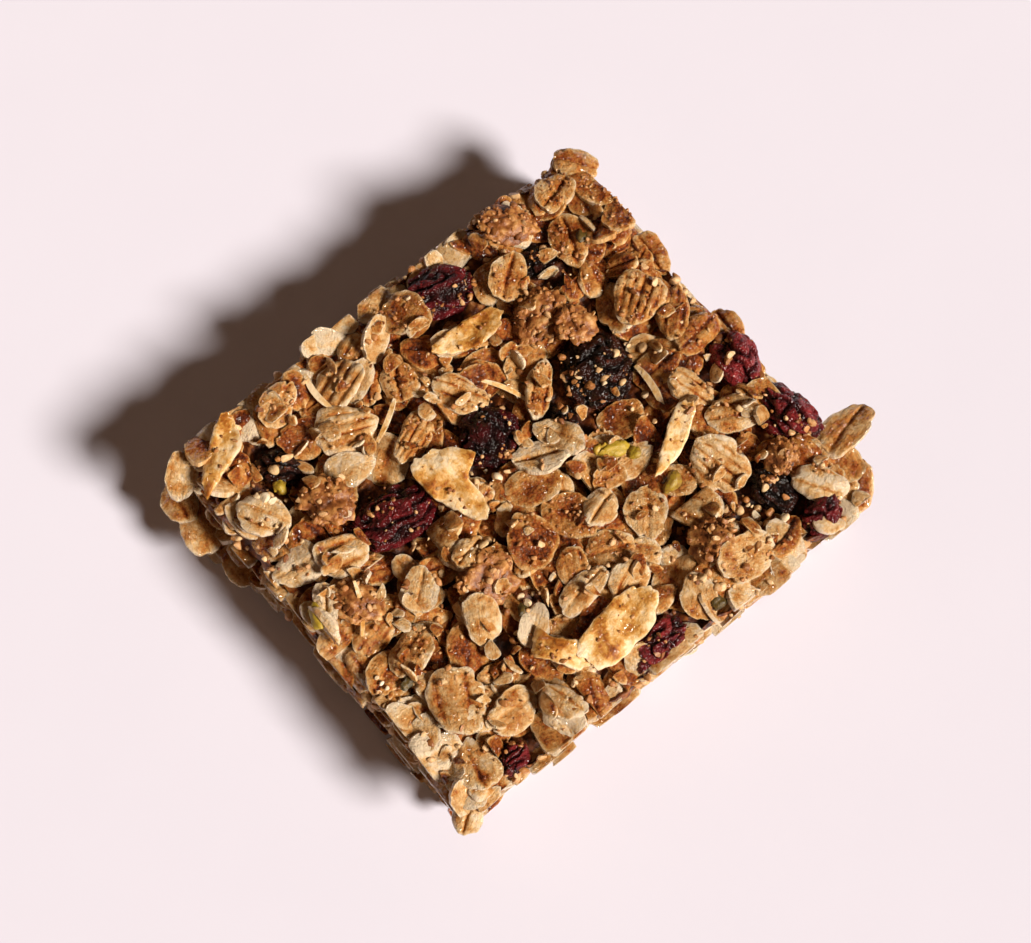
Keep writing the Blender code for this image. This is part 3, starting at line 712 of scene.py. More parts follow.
def build_clusters(bed, look, crumb_bits, draw):
    """Lumps of fine crumb stuck together with honey."""
    pile = Pile("crumb_clusters")
    dust = Pile("cluster_crumbs")
    for x, y, size in CLUSTERS:
        level, slope_x, slope_y = bed.seat(x, y, size, size, 0)
        unit, faces = CLUSTER_BALL
        phase = Vector((x, y, 0)) * 0.37
        points = np.zeros_like(unit)
        stretch = np.array([draw.uniform(0.9, 1.15), draw.uniform(0.8, 1.0), 0.42])
        for k, direction in enumerate(unit):
            spot = Vector(direction) * size / 2
            lump = noise.voronoi(spot * 0.55 + phase)[0][0]
            grit = noise.voronoi(spot * 1.5 + phase)[0][0]
            swell = 1 + 0.30 * noise.noise(spot * 0.4 + phase)
            swell += 0.30 * (0.4 - lump) + 0.14 * (0.45 - grit)
            swell += 0.05 * noise.noise(spot * 3.0 + phase)
            points[k] = direction * swell
        points = points * stretch * size / 2
        axes = turn_matrix(draw.uniform(0, 180), slope_x, slope_y)
        middle = np.array([x, y, min(level, TOP_LEVEL) + size * 0.08])
        start = random_place(draw)
        # How far each point swells out is kept as rim: the crumb look paints the hollows between the lumps
        # darker with it, a painted shade.
        swelling = np.linalg.norm(points / stretch, axis=1) / (size / 2)
        placed = points @ axes.T + middle
        pile.add(placed, faces, draw.uniform(0.4, 0.8), np.clip(swelling - 0.5, 0, 1), points + start)
        cling(dust, draw, placed[placed[:, 2] > middle[2]], CLUSTER_CRUMBS, 0.5, 1.2)
        bed.dome(x, y, size, size * 0.9, 0, middle[2] + size * 0.2, 1.2)
    dust.build(crumb_bits, "oats")
    pile.build(look, "oats")


def drift(spot):
    """A smooth wander of a place in all three directions, the same in every run."""
    return Vector([noise.noise(spot + Vector(start)) for start in DRIFT_STARTS])


def berry_points(unit, length, width, height, phase):
    """The fruit's own squashed form, with a few deep folds and finer wrinkles that run along it."""
    spread = (length / 2, width / 2, height / 2)
    along = Vector((0.55, 1.0, 1.0)) if length > width else Vector((1.0, 0.55, 1.0))
    points = np.zeros_like(unit)
    depth = np.zeros(len(unit))
    for k, direction in enumerate(unit):
        spot = Vector(direction)
        size = 1 + 0.16 * noise.noise(spot * 1.5 + Vector((phase, 0, 0)))
        size -= 0.10 * abs(noise.noise(spot * 3.1 + Vector((0, phase, 0))))
        warp = (spot + 0.45 * drift(spot * 1.3 + Vector((0, 0, phase)))) * along
        folds = 1 - abs(noise.noise(warp * 1.8 + Vector((phase, 3, 0)))) * 3.0
        wrinkles = 1 - abs(noise.noise(warp * 5.2 + Vector((3, phase, 0)))) * 3.0
        rough = noise.noise(warp * 13.0 + Vector((3, 0, phase)))
        depth[k] = 0.05 - 0.22 * max(0.0, folds) ** 1.5 - 0.04 * max(0.0, wrinkles) + 0.02 * rough
        size += depth[k]
        points[k] = [direction[a] * size * spread[a] for a in range(3)]
    # How deep each point lies in a fold is kept as rim, for the painted shade in the folds and the painted
    # light on the ridges.
    return points, np.clip(0.8 + depth * 3.5, 0, 1)


def build_berries(looks, crumb_bits, draw):
    """The dried fruit, each with crumbs clinging to what shows of it."""
    dust = Pile("fruit_crumbs")
    for index, (name, kind, x, y, length, width, height, turn, above, tone) in enumerate(BERRIES):
        ball = BERRY_BALL if length * width > LARGE_BERRY_AREA else SMALL_BERRY_BALL
        points, rim = berry_points(ball[0], length, width, height, 7.3 * index)
        swell = (1.08, 1.04, 1.0) if abs(x) > SIDE_BERRY_X else (1.0, 1.0, 1.0)
        placed = points @ turn_matrix(turn).T * swell + np.array([x, y, BLOCK_HEIGHT + above])
        pile = Pile(name + "_skin")
        pile.add(placed, ball[1], tone, rim, points + 17.0 * index)
        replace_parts(pile.build(looks[kind], kind), name)
        upper = placed[placed[:, 2] > BLOCK_HEIGHT + above + height * 0.1]
        middle = upper[draw.randrange(len(upper))]
        near = upper[np.linalg.norm(upper - middle, axis=1) < length * 0.25]
        count = round(length * width * DUST_PER_AREA)
        cling(dust, draw, near, round(count * 0.6), 0.5, 1.2)
        cling(dust, draw, upper, round(count * 0.25), 0.3, 0.6)
    dust.build(crumb_bits, "oats")


def outline_radii(corners, angle, length, width, turn):
    """How far the outline, with its corners rounded, reaches at each angle as a share of an oval."""
    ring = np.array(corners, float)[:, None]
    steps = np.linspace(0, 1, CHIP_SIDE_STEPS, endpoint=False)[:, None]
    points = (ring + (np.roll(ring, -1, axis=0) - ring) * steps).reshape(-1, 2)
    points = sum(np.roll(points, step, axis=0) for step in CHIP_ROUNDING) / len(CHIP_ROUNDING)
    along, across = in_oval(points[:, 0], points[:, 1], length, width, turn)
    angles = np.arctan2(across, along)
    order = np.argsort(angles)
    return np.interp(angle, angles[order], np.hypot(along, across)[order], period=math.tau)


def chip_points(sheet, draw, corners, length, width, turn):
    """A toasted coconut chip: a thin wavy piece with its own broken outline."""
    radii = outline_radii(corners, sheet.angle, length, width, turn)
    ragged = 0.03 * np.sin(9 * sheet.angle + draw.uniform(0, math.tau))
    ragged += 0.02 * np.sin(17 * sheet.angle + draw.uniform(0, math.tau))
    radii *= 1 + sheet.reach**4 * ragged
    x = sheet.x * radii * length / 2
    y = sheet.y * radii * width / 2
    edge = sheet.reach
    wave = 0.9 * waves(x, y, draw, 0.32, 2) + 0.35 * waves(x, y, draw, 0.9) + 0.04 * edge**2 * x
    half = 0.62 * (1 - 0.45 * edge**8)
    top = wave + half + 0.12 * waves(x, y, draw, 1.8) + 0.07 * waves(x, y, draw, 4.0)
    under = wave - half
    grain = two_sides(x, y, np.zeros_like(x), np.zeros_like(x)) + random_place(draw)
    return two_sides(x, y, top, under), np.tile(edge, 2), grain


def build_chips(look, crumb_bits, draw):
    """The toasted coconut, with a few crumbs stuck to each chip."""
    dust = Pile("chip_crumbs")
    for name, x, y, length, width, turn, above, tone in CHIPS:
        points, rim, grain = chip_points(FINE_SHEET, draw, CHIP_CORNERS[name], length, width, turn)
        placed = points @ turn_matrix(turn).T + np.array([x, y, BLOCK_HEIGHT + above])
        upper = placed[:len(FINE_SHEET.u)][FINE_SHEET.reach < 0.8]
        cling(dust, draw, upper, CHIP_CRUMBS, 0.4, 0.9)
        pile = Pile(name + "_toasted")
        pile.add(placed, FINE_SHEET.faces, tone, rim, grain)
        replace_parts(pile.build(look, "coconut"), name)
    dust.build(crumb_bits, "oats")


def mark_berries(bed):
    """Raises the bed where berries lie, so that flakes rest beside and against them."""
    for _, _, x, y, length, width, height, turn, above, _ in BERRIES:
        bed.dome(x, y, length, width, turn, BLOCK_HEIGHT + above + height / 2, height * 0.3, keep=True)


def build_fill(bed, look, draw):
    """Flakes in no order, each laid where the bed is lowest among a few places tried."""
    pile = Pile("oat_flakes")
    for _ in range(FILL_COUNT):
        length = draw.uniform(*FILL_LENGTH)
        width = length * draw.uniform(0.6, 0.85)
        best = None
        for _ in range(FILL_TRIES):
            x, y = random_spot(draw, 1.5)
            turn = draw.uniform(0, 180)
            cells, _, _, oval = bed.footprint(x, y, length, width, turn)
            under = oval < 1
            cost = bed.height[cells][under].mean() + KEPT_COST * bed.kept[cells][under].mean()
            if best is None or cost < best[0]:
                best = (cost, x, y, turn)
        _, x, y, turn = best
        level, slope_x, slope_y = bed.seat(x, y, length, width, turn)
        slope_x += draw.gauss(0, 0.16)
        slope_y += draw.gauss(0, 0.16)
        level = min(level + 0.3, TOP_LEVEL - 0.8)
        axes = turn_matrix(turn, slope_x, slope_y)
        # Flakes lying lower in the bed are made browner and darker: a painted shade for their depth under
        # the pieces above.
        low = share((TOP_LEVEL - 1.2 - level) / 2.0)
        tone = share(draw.gauss(0.42, 0.2) + 0.35 * low)
        tone = share(tone + CORNER_TONE * (x / HIGH_X + y / HIGH_Y) / 2)
        ridges = draw.choice((0, 0, 0, 0, 2, 4))
        cuts = top_cuts(draw, x, y)
        if draw.random() < BROKEN_SHARE:
            cuts.append(break_across(draw, (x, y), width))
        add_flake(pile, FILL_SHEET, draw, (x, y, level), axes, length, width, tone, ridges, cuts=cuts)
        bed.cover(x, y, length, width, turn, level - 0.4, slope_x, slope_y, OAT_THICKNESS)
    pile.build(look, "oats")


def build_top_oats(bed, look, crumb_bits, draw):
    """The flakes that lie uppermost, where the photograph shows them, the brown ones coated in crumbs."""
    pile = Pile("top_oats")
    dust = Pile("flake_crumbs")
    for x, y, length, width, turn, tilt, ridges, tone in TOP_OATS:
        level, slope_x, slope_y = bed.seat(x, y, length, width, turn, steepest=0.3)
        level = min(level + 0.45, TOP_LEVEL)
        axes = turn_matrix(turn, slope_x, slope_y, tilt)
        cuts = top_cuts(draw, x, y)
        add_flake(pile, FINE_SHEET, draw, (x, y, level), axes, length, width, tone, ridges, cuts=cuts)
        bed.cover(x, y, length, width, turn, level - 0.3, slope_x, slope_y, OAT_THICKNESS + 0.2)
        if tone >= 0.5:
            upper = pile.points[-1][:len(FINE_SHEET.u)][FINE_SHEET.reach < 0.9]
            cling(dust, draw, upper, COAT_CRUMBS, 0.35, 0.7)
    for x, y, length, width, turn, tilt, ridges, tone, above in OUTER_OATS:
        axes = turn_matrix(turn, 0, 0, tilt)
        add_flake(pile, FINE_SHEET, draw, (x, y, BLOCK_HEIGHT + above), axes, length, width, tone, ridges)
    dust.build(crumb_bits, "oats")
    pile.build(look, "oats")


def wall_places(draw, area, lowest, highest, overhang):
    """Random places on the cut sides, one for so much area, with the side that each is on."""
    for axis, fixed, start, end, outward in WALLS:
        for _ in range(round((end - start) * BLOCK_HEIGHT / area)):
            level = draw.uniform(lowest, highest)
            along = draw.uniform(start - overhang, end + overhang)
            spot = (fixed, along, level) if axis == 0 else (along, fixed, level)
            yield axis, start, end, outward, shape_block_point(*spot)


def build_edge_oats(look, draw):
    """Flakes pressed level in the block and cut through at its sides."""
    pile = Pile("edge_oats")
    places = wall_places(draw, AREA_PER_EDGE_OAT, 0.5, BLOCK_HEIGHT, 1.0)
    for axis, start, end, outward, place in places:
        length = draw.uniform(4.5, 9.5)
        width = length * draw.uniform(0.55, 0.85)
        turn = draw.uniform(0, 180)
        heading = math.radians(turn if axis == 0 else turn - 90)
        reach = math.hypot(length / 2 * math.cos(heading), width / 2 * math.sin(heading))
        wall = place[axis] + draw.gauss(0, SIDE_LOOSE[axis])
        place[axis] = wall - outward * (reach - draw.uniform(-0.2, 2.6))
        steep = 0.6 if draw.random() < 0.15 else 0.2
        axes = turn_matrix(turn, draw.gauss(0, steep), draw.gauss(0, steep))
        tone = share(draw.gauss(0.4, 0.25))
        cuts = [(axis, outward, wall), (1 - axis, -1, start - 1.2), (1 - axis, 1, end + 1.6)]
        add_flake(pile, EDGE_SHEET, draw, place, axes, length, width, tone, flatness=0.9, cuts=cuts)
    pile.rest(0.0)
    pile.build(look, "oats")


def build_edge_crumbs(look, draw):
    """Crumbs and broken grain pressed in between the cut flakes at the sides."""
    pile = Pile("edge_crumbs")
    for axis, _, _, outward, place in wall_places(draw, AREA_PER_EDGE_CRUMB, 0.7, BLOCK_HEIGHT - 0.5, -0.5):
        place[axis] -= outward * draw.uniform(0.3, 1.4)
        size = 0.8 + 1.7 * draw.random() ** 2
        add_crumb(pile, draw, place, size, draw.uniform(0, 0.6), 0.7)
    pile.rest(0.3)
    pile.build(look, "oats")


def build_base_oats(look, draw):
    """Flakes pressed flat against the tray on the underside."""
    pile = Pile("base_oats")
    for _ in range(BASE_COUNT):
        length = draw.uniform(*FILL_LENGTH)
        x = draw.uniform(LOW_X + 3, HIGH_X - 3)
        y = draw.uniform(LOW_Y + 4, HIGH_Y - 3)
        axes = turn_matrix(draw.uniform(0, 180))
        place = (x, y, 0.35 + draw.uniform(0, 0.25))
        width = length * draw.uniform(0.6, 0.85)
        tone = draw.uniform(0.2, 0.9)
        add_flake(pile, EDGE_SHEET, draw, place, axes, length, width, tone, flatness=0.12)
    pile.rest(0.7)
    pile.build(look, "oats")


def build_grains(bed, look, draw):
    """Puffed grains, single and in small groups, on the top."""
    pile = Pile("puffed_grains")
    strays = [(*random_spot(draw, 0), *STRAY_GROUP) for _ in range(STRAY_GROUPS)]
    for middle_x, middle_y, count, spread in GRAIN_GROUPS + strays:
        for _ in range(count):
            x, y = draw.gauss(middle_x, spread / 2), draw.gauss(middle_y, spread / 2)
            if not (LOW_X + 1 < x < HIGH_X - 1 and LOW_Y + 1 < y < HIGH_Y - 1):
                continue
            size = 0.8 + 1.2 * draw.random() ** 2
            level, _ = bed.at(x, y)
            place = (x, y, min(level, TOP_LEVEL) + size * 0.15)
            tone = draw.uniform(0.1, 0.9)
            add_lump(pile, GRAIN_BALL, draw, place, size, tone, 0.12, 0.8, facets=2)
    pile.build(look, "oats")


def build_bits(bed, look, draw):
    """Broken pieces of flake that lie in the gaps and against the larger ones."""
    pile = Pile("oat_bits")
    for _ in range(BIT_COUNT):
        x, y = random_spot(draw, 1.0)
        length = draw.uniform(1.8, 4.6)
        width = length * draw.uniform(0.35, 0.9)
        turn = draw.uniform(0, 180)
        level, slope_x, slope_y = bed.seat(x, y, length, width, turn, steepest=0.9)
        if bed.at(x, y)[1] and draw.random() < 0.6:
            continue
        slope_x += draw.gauss(0, 0.35)
        slope_y += draw.gauss(0, 0.35)
        axes = turn_matrix(turn, slope_x, slope_y, draw.gauss(0, 25))
        place = (x, y, min(level + 0.25, TOP_LEVEL))
        cuts = [break_across(draw, place, width)]
        tone = draw.uniform(0.2, 0.9)
        add_flake(pile, EDGE_SHEET, draw, place, axes, length, width, tone, flatness=0.5, cuts=cuts)
    pile.build(look, "oats")


def build_crumbs(bed, look, draw):
    """Crumbs that fill the low places and cling to what lies above."""
    pile = Pile("crumbs")
    for _ in range(CRUMB_COUNT):
        x, y = random_spot(draw, 0.5)
        size = draw.uniform(0.4, 0.8) + 1.0 * draw.random() ** 4
        level, kept = bed.at(x, y)
        if kept and draw.random() < 0.6:
            continue
        place = (x, y, min(level, TOP_LEVEL + 0.2) + size * 0.1)
        flat = draw.uniform(0.4, 0.9)
        add_crumb(pile, draw, place, size, draw.random(), flat)
    pile.build(look, "oats")


def build_shreds(bed, look, draw):
    """Thin coconut shreds, bent along their length."""
    pile = Pile("coconut_shreds")
    sheet = EDGE_SHEET
    for x, y, length, turn in SHREDS:
        width = draw.uniform(0.7, 1.1)
        level, slope_x, slope_y = bed.seat(x, y, length, 2.0, turn)
        bow = draw.choice((-1, 1)) * draw.uniform(0.2, 0.7)
        px = sheet.u * length / 2
        py = sheet.v * width / 2 * (1 - 0.4 * np.abs(sheet.u) ** 3) + bow * sheet.u**2
        arch = 0.2 * (1 - sheet.u**2)
        points = two_sides(px, py, arch + 0.3, arch - 0.3)
        middle = np.array([x, y, min(level + 0.1, TOP_LEVEL)])
        placed = points @ turn_matrix(turn, slope_x, slope_y).T + middle
        edge = np.tile(np.abs(sheet.v), 2)
        grain = points + random_place(draw)
        pile.add(placed, sheet.faces, draw.uniform(0.0, 0.3), edge, grain)
    pile.build(look, "coconut")


def build_seeds(bed, look, draw):
    """Broken green seeds, from yellow flesh to dark skin."""
    pile = Pile("seed_bits")
    for x, y, length, width, turn, green in SEEDS:
        level, _, _ = bed.seat(x, y, length, width, turn)
        unit, faces = GRAIN_BALL
        swell = 1 + 0.45 * waves(unit[:, 0], unit[:, 1], draw, 3.5)
        swell += 0.25 * waves(unit[:, 1], unit[:, 2], draw, 8.0)
        points = unit * swell[:, None] * (length / 2, width / 2, width * 0.3)
        place = np.array([x, y, min(level, TOP_LEVEL) + width * 0.02])
        axes = turn_matrix(turn, draw.gauss(0, 0.2), draw.gauss(0, 0.2))
        # How high each point sits on the seed is kept as rim, for the painted light on its upper side.
        pile.add(points @ axes.T + place, faces, green, (unit[:, 2] + 1) / 2, points + 5.0)
    pile.build(look, "oats")


# Materials


class Look:
    """A material and short ways to add and join its nodes."""

    def __init__(self, name):
        self.material = bpy.data.materials.new(name)
        self.material.use_nodes = True
        self.tree = self.material.node_tree
        self.shader = self.tree.nodes["Principled BSDF"]

    def node(self, kind, inputs=(), **settings):
        made = self.tree.nodes.new(kind)
        for key, value in settings.items():
            setattr(made, key, value)
        for key, value in dict(inputs).items():
            self.put(made.inputs[key], value)
        return made

    def put(self, socket, value):
        if isinstance(value, bpy.types.NodeSocket):
            self.tree.links.new(value, socket)
        else:
            socket.default_value = value

    def attribute(self, name, output="Fac"):
        return self.node("ShaderNodeAttribute", attribute_name=name).outputs[output]

    def math(self, operation, first, second=0.0):
        return self.node("ShaderNodeMath", {0: first, 1: second}, operation=operation).outputs[0]

    def fields(self):
        """What each point carries: its place in the grain, its browning and its rim value, which is how near
        the rim a point lies on flakes and chips, and how high it stands on grains, crumbs and fruit, where
        it carries painted light and shade.
        """
        return self.attribute("grain", "Vector"), self.attribute("tone"), self.attribute("rim")

    def less(self, value, part, weight):
        return self.math("SUBTRACT", value, self.math("MULTIPLY", part, weight))

    def scaled(self, value, weight, start):
        return self.math("ADD", self.math("MULTIPLY", value, weight), start)

    def cells(self, vector, scale):
        return self.node("ShaderNodeTexVoronoi", {"Vector": vector, "Scale": scale}).outputs["Distance"]

    def weighed(self, middle, parts):
        """The sum of middle and of each value's distance from its own middle, times its weight."""
        total = middle
        for value, own_middle, weight in parts:
            weighed = self.math("MULTIPLY", self.math("SUBTRACT", value, own_middle), weight)
            total = self.math("ADD", total, weighed)
        return total

    def stretched(self, vector, scale):
        made = self.node("ShaderNodeVectorMath", {0: vector, 1: scale}, operation="MULTIPLY")
        return made.outputs[0]

    def noise(self, vector, scale, detail=4.0, roughness=0.6):
        inputs = {"Vector": vector, "Scale": scale, "Detail": detail, "Roughness": roughness}
        return self.node("ShaderNodeTexNoise", inputs).outputs["Fac"]

    def ramp(self, factor, stops):
        made = self.node("ShaderNodeValToRGB", {"Fac": factor})
        elements = made.color_ramp.elements
        while len(elements) < len(stops):
            elements.new(0.5)
        for element, (place, *colour) in zip(elements, stops):
            element.position = place
            element.color = (*colour, 1.0)
        return made.outputs["Color"]

    def spread(self, value, low, high):
        made = self.node("ShaderNodeMapRange", {"Value": value, "From Min": low, "From Max": high})
        return made.outputs["Result"]

    def mix(self, factor, first, second):
        made = self.node("ShaderNodeMix", data_type="RGBA")
        self.put(made.inputs["Factor"], factor)
        self.put(made.inputs[6], first if isinstance(first, bpy.types.NodeSocket) else (*first, 1.0))
        self.put(made.inputs[7], second if isinstance(second, bpy.types.NodeSocket) else (*second, 1.0))
        return made.outputs[2]

    def bump(self, height, distance, strength=1.0, normal=None):
        inputs = {"Height": height, "Distance": distance, "Strength": strength}
        made = self.node("ShaderNodeBump", inputs)
        if normal is not None:
            self.put(made.inputs["Normal"], normal)
        return made.outputs["Normal"]

    def bumps(self, *layers):
        """A normal bumped by each layer in turn: its height, its depth in metres and its strength."""
        normal = None
        for layer in layers:
            normal = self.bump(*layer, normal)
        return normal

    def finish(
        self,
        colour,
        roughness,
        normal,
        coat=0.0,
        coat_roughness=0.2,
        subsurface=0.0,
        radius=(1.0, 0.5, 0.2),
        specular=0.3,
        coat_normal=None,
    ):
        """Joins the material's values to its shader."""
        for name, value in (
            ("Base Color", colour),
            ("Roughness", roughness),
            ("Normal", normal),
            ("Specular IOR Level", specular),
            ("Coat Weight", coat),
            ("Coat Roughness", coat_roughness),
            ("Coat IOR", COAT_IOR),
            ("Coat Normal", coat_normal or normal),
            ("Subsurface Weight", subsurface),
            ("Subsurface Radius", radius),
            ("Subsurface Scale", SUBSURFACE_DEPTH),
        ):
            self.put(self.shader.inputs[name], value)
        return self.material


def oat_look(name):
    """Toasted oat under honey: crisp pale rims, mottled browner middles, stuck-on crumb, and painted shade
    darkening the creases and the hollows between the crumb's lumps.
    """
    look = Look(name)
    grain, tone, rim = look.fields()
    crease = look.attribute("crease")
    lines = look.noise(look.stretched(grain, (0.4, 3.0, 1.0)), 1.0, 5.0, 0.65)
    patches = look.noise(grain, 0.36, 5.0, 0.62)
    spots = look.noise(grain, 1.4, 4.0, 0.7)
    grit = look.noise(grain, 3.2, 4.0, 0.7)
    cells = look.cells(grain, 1.7)
    # The crease term darkens each flake along its crease: a painted shade.
    brown = look.weighed(
        0.42,
        ((patches, 0.5, 1.6), (tone, 0.5, 0.8), (spots, 0.5, 0.7), (lines, 0.5, 0.15), (crease, 0.0, 0.4)),
    )
    brown = look.less(brown, look.math("POWER", rim, 9.0), 0.35)
    coated = look.spread(brown, 0.45, 0.75)
    # Browned flakes get crumb lumps whose tops are painted lighter and whose hollows are painted darker,
    # following their bump: painted light and shade.
    lumps = look.math("MULTIPLY", look.math("SUBTRACT", 0.5, cells), coated)
    brown = look.less(brown, lumps, 0.35)
    colour = look.ramp(brown, SHADES[name])
    roughness = look.weighed(0.45, ((patches, 0.5, -0.9), (grit, 0.5, 0.8)))
    layers = ((lumps, 0.0006, 0.8), (spots, 0.0010, 0.8), (grit, 0.0004, 0.8), (lines, 0.0004, 0.6))
    normal = look.bumps(*layers)
    honey = look.spread(patches, 0.35, 0.48)
    beads = look.bump(look.noise(grain, 0.95, 1.0, 0.5), 0.0018, 0.9)
    return look.finish(colour, roughness, normal, honey, 0.05, 0.05, (1.0, 0.5, 0.2), 0.15, beads)


def crumb_look(name, coat):
    """Crumb and syrup: small lumps, with painted shade darkening them where they lie low, so they are
    lighter where they stand up.
    """
    look = Look(name)
    place = look.node("ShaderNodeTexCoord").outputs["Object"]
    rim = look.attribute("rim")
    cells = look.cells(place, 900.0)
    shade = look.noise(place, 420.0, 5.0, 0.7)
    # The rim value is how high the crumb stands; weighing it in paints the low places darker, a painted
    # shade.
    mixed = look.weighed(0.5, ((rim, 0.5, 0.9), (shade, 0.5, 1.4), (cells, 0.4, -0.5)))
    colour = look.ramp(mixed, SHADES[name])
    fine = look.noise(place, 1600.0, 4.0, 0.7)
    normal = look.bumps((shade, 0.0005, 0.7), (fine, 0.0002, 0.7))
    roughness = look.scaled(shade, 0.4, 0.2)
    return look.finish(colour, roughness, normal, coat, 0.25)


def fruit_look(name):
    """Dried fruit: dark wet skin, painted darker down in its folds as painted shade and redder on the ridges
    between them as painted light, with a little crumb dust.
    """
    look = Look(name)
    grain, tone, rim = look.fields()
    shade = look.noise(grain, 0.5, 5.0, 0.65)
    # The rim value is low down in the folds and high on the ridges: weighing it in paints shade into the
    # folds and light onto the ridges.
    mixed = look.weighed(0.62, ((rim, 0.6, 0.55), (shade, 0.5, 0.55), (tone, 0.5, 0.35)))
    colour = look.ramp(look.spread(mixed, 0.3, 0.95), SHADES[name])
    dust = look.noise(grain, 1.8, 5.0, 0.75)
    colour = look.mix(look.spread(dust, 0.64, 0.76), colour, (0.26, 0.11, 0.06))
    fine = look.noise(grain, 2.6, 5.0, 0.7)
    folds = look.noise(grain, 1.1, 2.0, 0.55)
    skin = look.bump(folds, 0.0014, 0.9)
    normal = look.bump(fine, 0.0004, 0.8, skin)
    roughness = look.scaled(fine, 0.4, 0.3)
    return look.finish(colour, roughness, normal, 0.8, 0.04, 0.02, (1.0, 0.1, 0.1), 0.05, skin)


def coconut_look(name):
    """Toasted coconut: cream flesh browned in blotches under glossy honey."""
    look = Look(name)
    grain, tone, rim = look.fields()
    patches = look.noise(grain, 0.22, 5.0, 0.65)
    spots = look.noise(grain, 1.1, 5.0, 0.7)
    grit = look.noise(grain, 3.0, 4.0, 0.7)
    cells = look.cells(grain, 1.3)
    brown = look.weighed(0.40, ((patches, 0.5, 3.0), (tone, 0.5, 0.5), (spots, 0.5, 0.7), (cells, 0.4, 0.2)))
    brown = look.less(brown, look.math("POWER", rim, 12.0), 0.35)
    colour = look.ramp(brown, SHADES[name])
    roughness = look.weighed(0.42, ((spots, 0.5, 0.8), (patches, 0.5, -0.5)))
    normal = look.bumps((patches, 0.0012, 0.6), (spots, 0.0003, 0.5), (grit, 0.0001, 0.5))
    beads = look.bump(look.noise(grain, 1.0, 1.0, 0.5), 0.0018, 0.9)
    honey = look.spread(patches, 0.42, 0.54)
    return look.finish(colour, roughness, normal, honey, 0.06, 0.08, (1.0, 0.7, 0.3), 0.2, beads)


def grain_look(name):
    """Grains and crumbs: each one its own shade, freckled, and painted lighter on its upper side, a painted
    light from above.
    """
    look = Look(name)
    grain, tone, rim = look.fields()
    freckles = look.noise(grain, 1.6, 4.0, 0.65)
    mixed = look.scaled(tone, 0.7, look.math("MULTIPLY", freckles, 0.5))
    # The rim value is how high a point sits on its piece, so this paints the upper side lighter: a painted
    # light.
    mixed = look.less(mixed, rim, 0.12)
    colour = look.ramp(look.spread(mixed, 0.15, 0.95), SHADES[name])
    normal = look.bump(freckles, 0.0003, 0.7)
    roughness = look.scaled(freckles, 0.35, 0.25)
    return look.finish(colour, roughness, normal, 0.3, 0.2, 0.1, (1.0, 0.6, 0.3))


# Stage


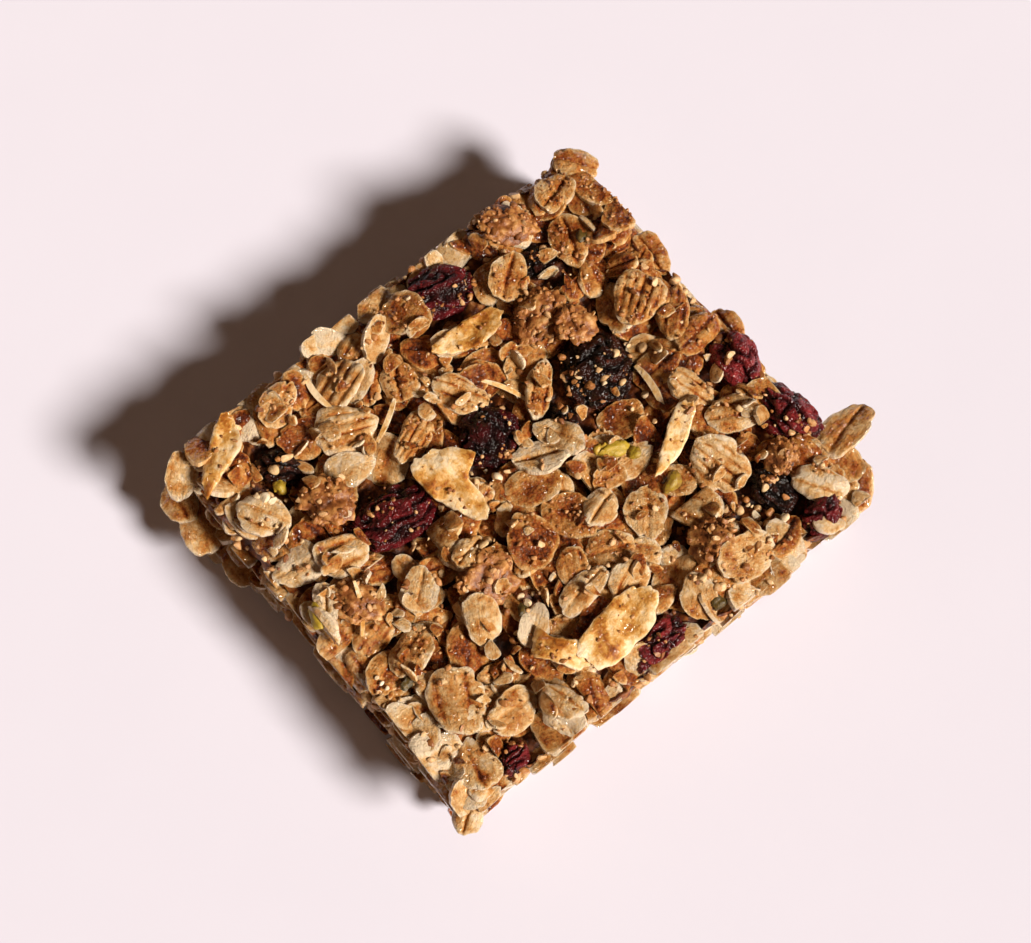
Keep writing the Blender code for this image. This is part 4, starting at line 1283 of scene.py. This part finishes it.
def build_stage():
    """The photograph's camera, a pale floor and soft studio light with its key from the right front."""
    azimuth, elevation, roll = (math.radians(a) for a in (CAMERA_AZIMUTH, CAMERA_ELEVATION, CAMERA_ROLL))
    level_back = Vector((math.sin(azimuth), -math.cos(azimuth), 0))
    back = level_back * math.cos(elevation) + Vector((0, 0, math.sin(elevation)))
    right = Vector((0, 0, 1)).cross(back).normalized()
    up = back.cross(right)
    rolled_right = right * math.cos(roll) + up * math.sin(roll)
    rolled_up = up * math.cos(roll) - right * math.sin(roll)
    data = bpy.data.cameras.new("camera")
    data.lens = LENS
    data.sensor_width = SENSOR
    data.clip_start, data.clip_end = 0.01, 40.0
    camera = add_object("camera", data)
    aim = Vector(np.array(AIM) + SHIFT) * MM
    turned = Matrix((rolled_right, rolled_up, back)).transposed().to_4x4()
    camera.matrix_world = Matrix.Translation(aim + back * CAMERA_DISTANCE * MM) @ turned
    bpy.context.scene.camera = camera

    mesh = bpy.data.meshes.new("floor")
    heading = ((-1, -1), (1, -1), (1, 1), (-1, 1))
    corners = [(x * FLOOR_REACH, y * FLOOR_REACH, -FLOOR_GAP) for x, y in heading]
    mesh.from_pydata(corners, [], [(0, 1, 2, 3)])
    floor = add_object("floor", mesh)
    paint = Look("floor_paint")
    place = paint.node("ShaderNodeTexCoord").outputs["Object"]
    mottle = paint.noise(place, 40.0, 3.0, 0.5)
    shade = paint.mix(mottle, (0.68, 0.66, 0.77), (0.70, 0.68, 0.79))
    mesh.materials.append(paint.finish(shade, 0.9, paint.bump(mottle, 0.0002, 0.1), specular=0.0))

    key = add_light("key", "SUN", (0.35, -0.82, 0.72), 6.3, (1.0, 0.93, 0.83))
    key.angle = math.radians(17.0)
    fill = add_light("fill", "AREA", (-0.9, 0.5, 0.7), 1.1, (1.0, 0.72, 0.50))
    fill.size = 1.0
    world = bpy.data.worlds.new("studio")
    world.use_nodes = True
    sky = world.node_tree.nodes["Background"]
    sky.inputs["Color"].default_value = (1.0, 0.52, 0.28, 1.0)
    sky.inputs["Strength"].default_value = 0.06
    bpy.context.scene.world = world
    bpy.context.scene.view_settings.view_transform = "Standard"


def add_light(name, kind, place, power, colour):
    data = bpy.data.lights.new(name, kind)
    data.energy = power
    data.color = colour
    light = add_object(name, data)
    light.location = place
    light.rotation_mode = "QUATERNION"
    light.rotation_quaternion = Vector(place).to_track_quat("Z", "Y")
    return data


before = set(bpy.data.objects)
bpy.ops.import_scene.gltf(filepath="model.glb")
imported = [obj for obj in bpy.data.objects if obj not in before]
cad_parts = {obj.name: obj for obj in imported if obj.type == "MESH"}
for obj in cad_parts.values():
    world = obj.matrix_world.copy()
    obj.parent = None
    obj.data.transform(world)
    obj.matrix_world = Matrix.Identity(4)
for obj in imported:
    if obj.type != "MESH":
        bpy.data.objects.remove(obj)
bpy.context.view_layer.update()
SHIFT = block_to_frame()
build_stage()

oat = oat_look("toasted_oat")
fruit = {kind: fruit_look(kind + "_skin") for kind in ("cranberry", "raisin")}
core_crumb = crumb_look("crumb", 0.15)
cluster_crumb = crumb_look("cluster_crumb", 0.3)
coconut = coconut_look("toasted_coconut")
puffed = grain_look("puffed_grain")
crumb_bits = grain_look("crumb_bits")
seed_flesh = grain_look("seed_flesh")

draw = random.Random(SEED)
bed = Bed()
build_core(core_crumb)
mark_berries(bed)
build_berries(fruit, crumb_bits, draw)
build_fill(bed, oat, draw)
build_clusters(bed, cluster_crumb, crumb_bits, draw)
build_top_oats(bed, oat, crumb_bits, draw)
build_chips(coconut, crumb_bits, draw)
build_edge_oats(oat, draw)
build_edge_crumbs(crumb_bits, draw)
build_bits(bed, oat, draw)
build_grains(bed, puffed, draw)
build_shreds(bed, coconut, draw)
build_seeds(bed, seed_flesh, draw)
build_crumbs(bed, crumb_bits, draw)
build_base_oats(oat, draw)
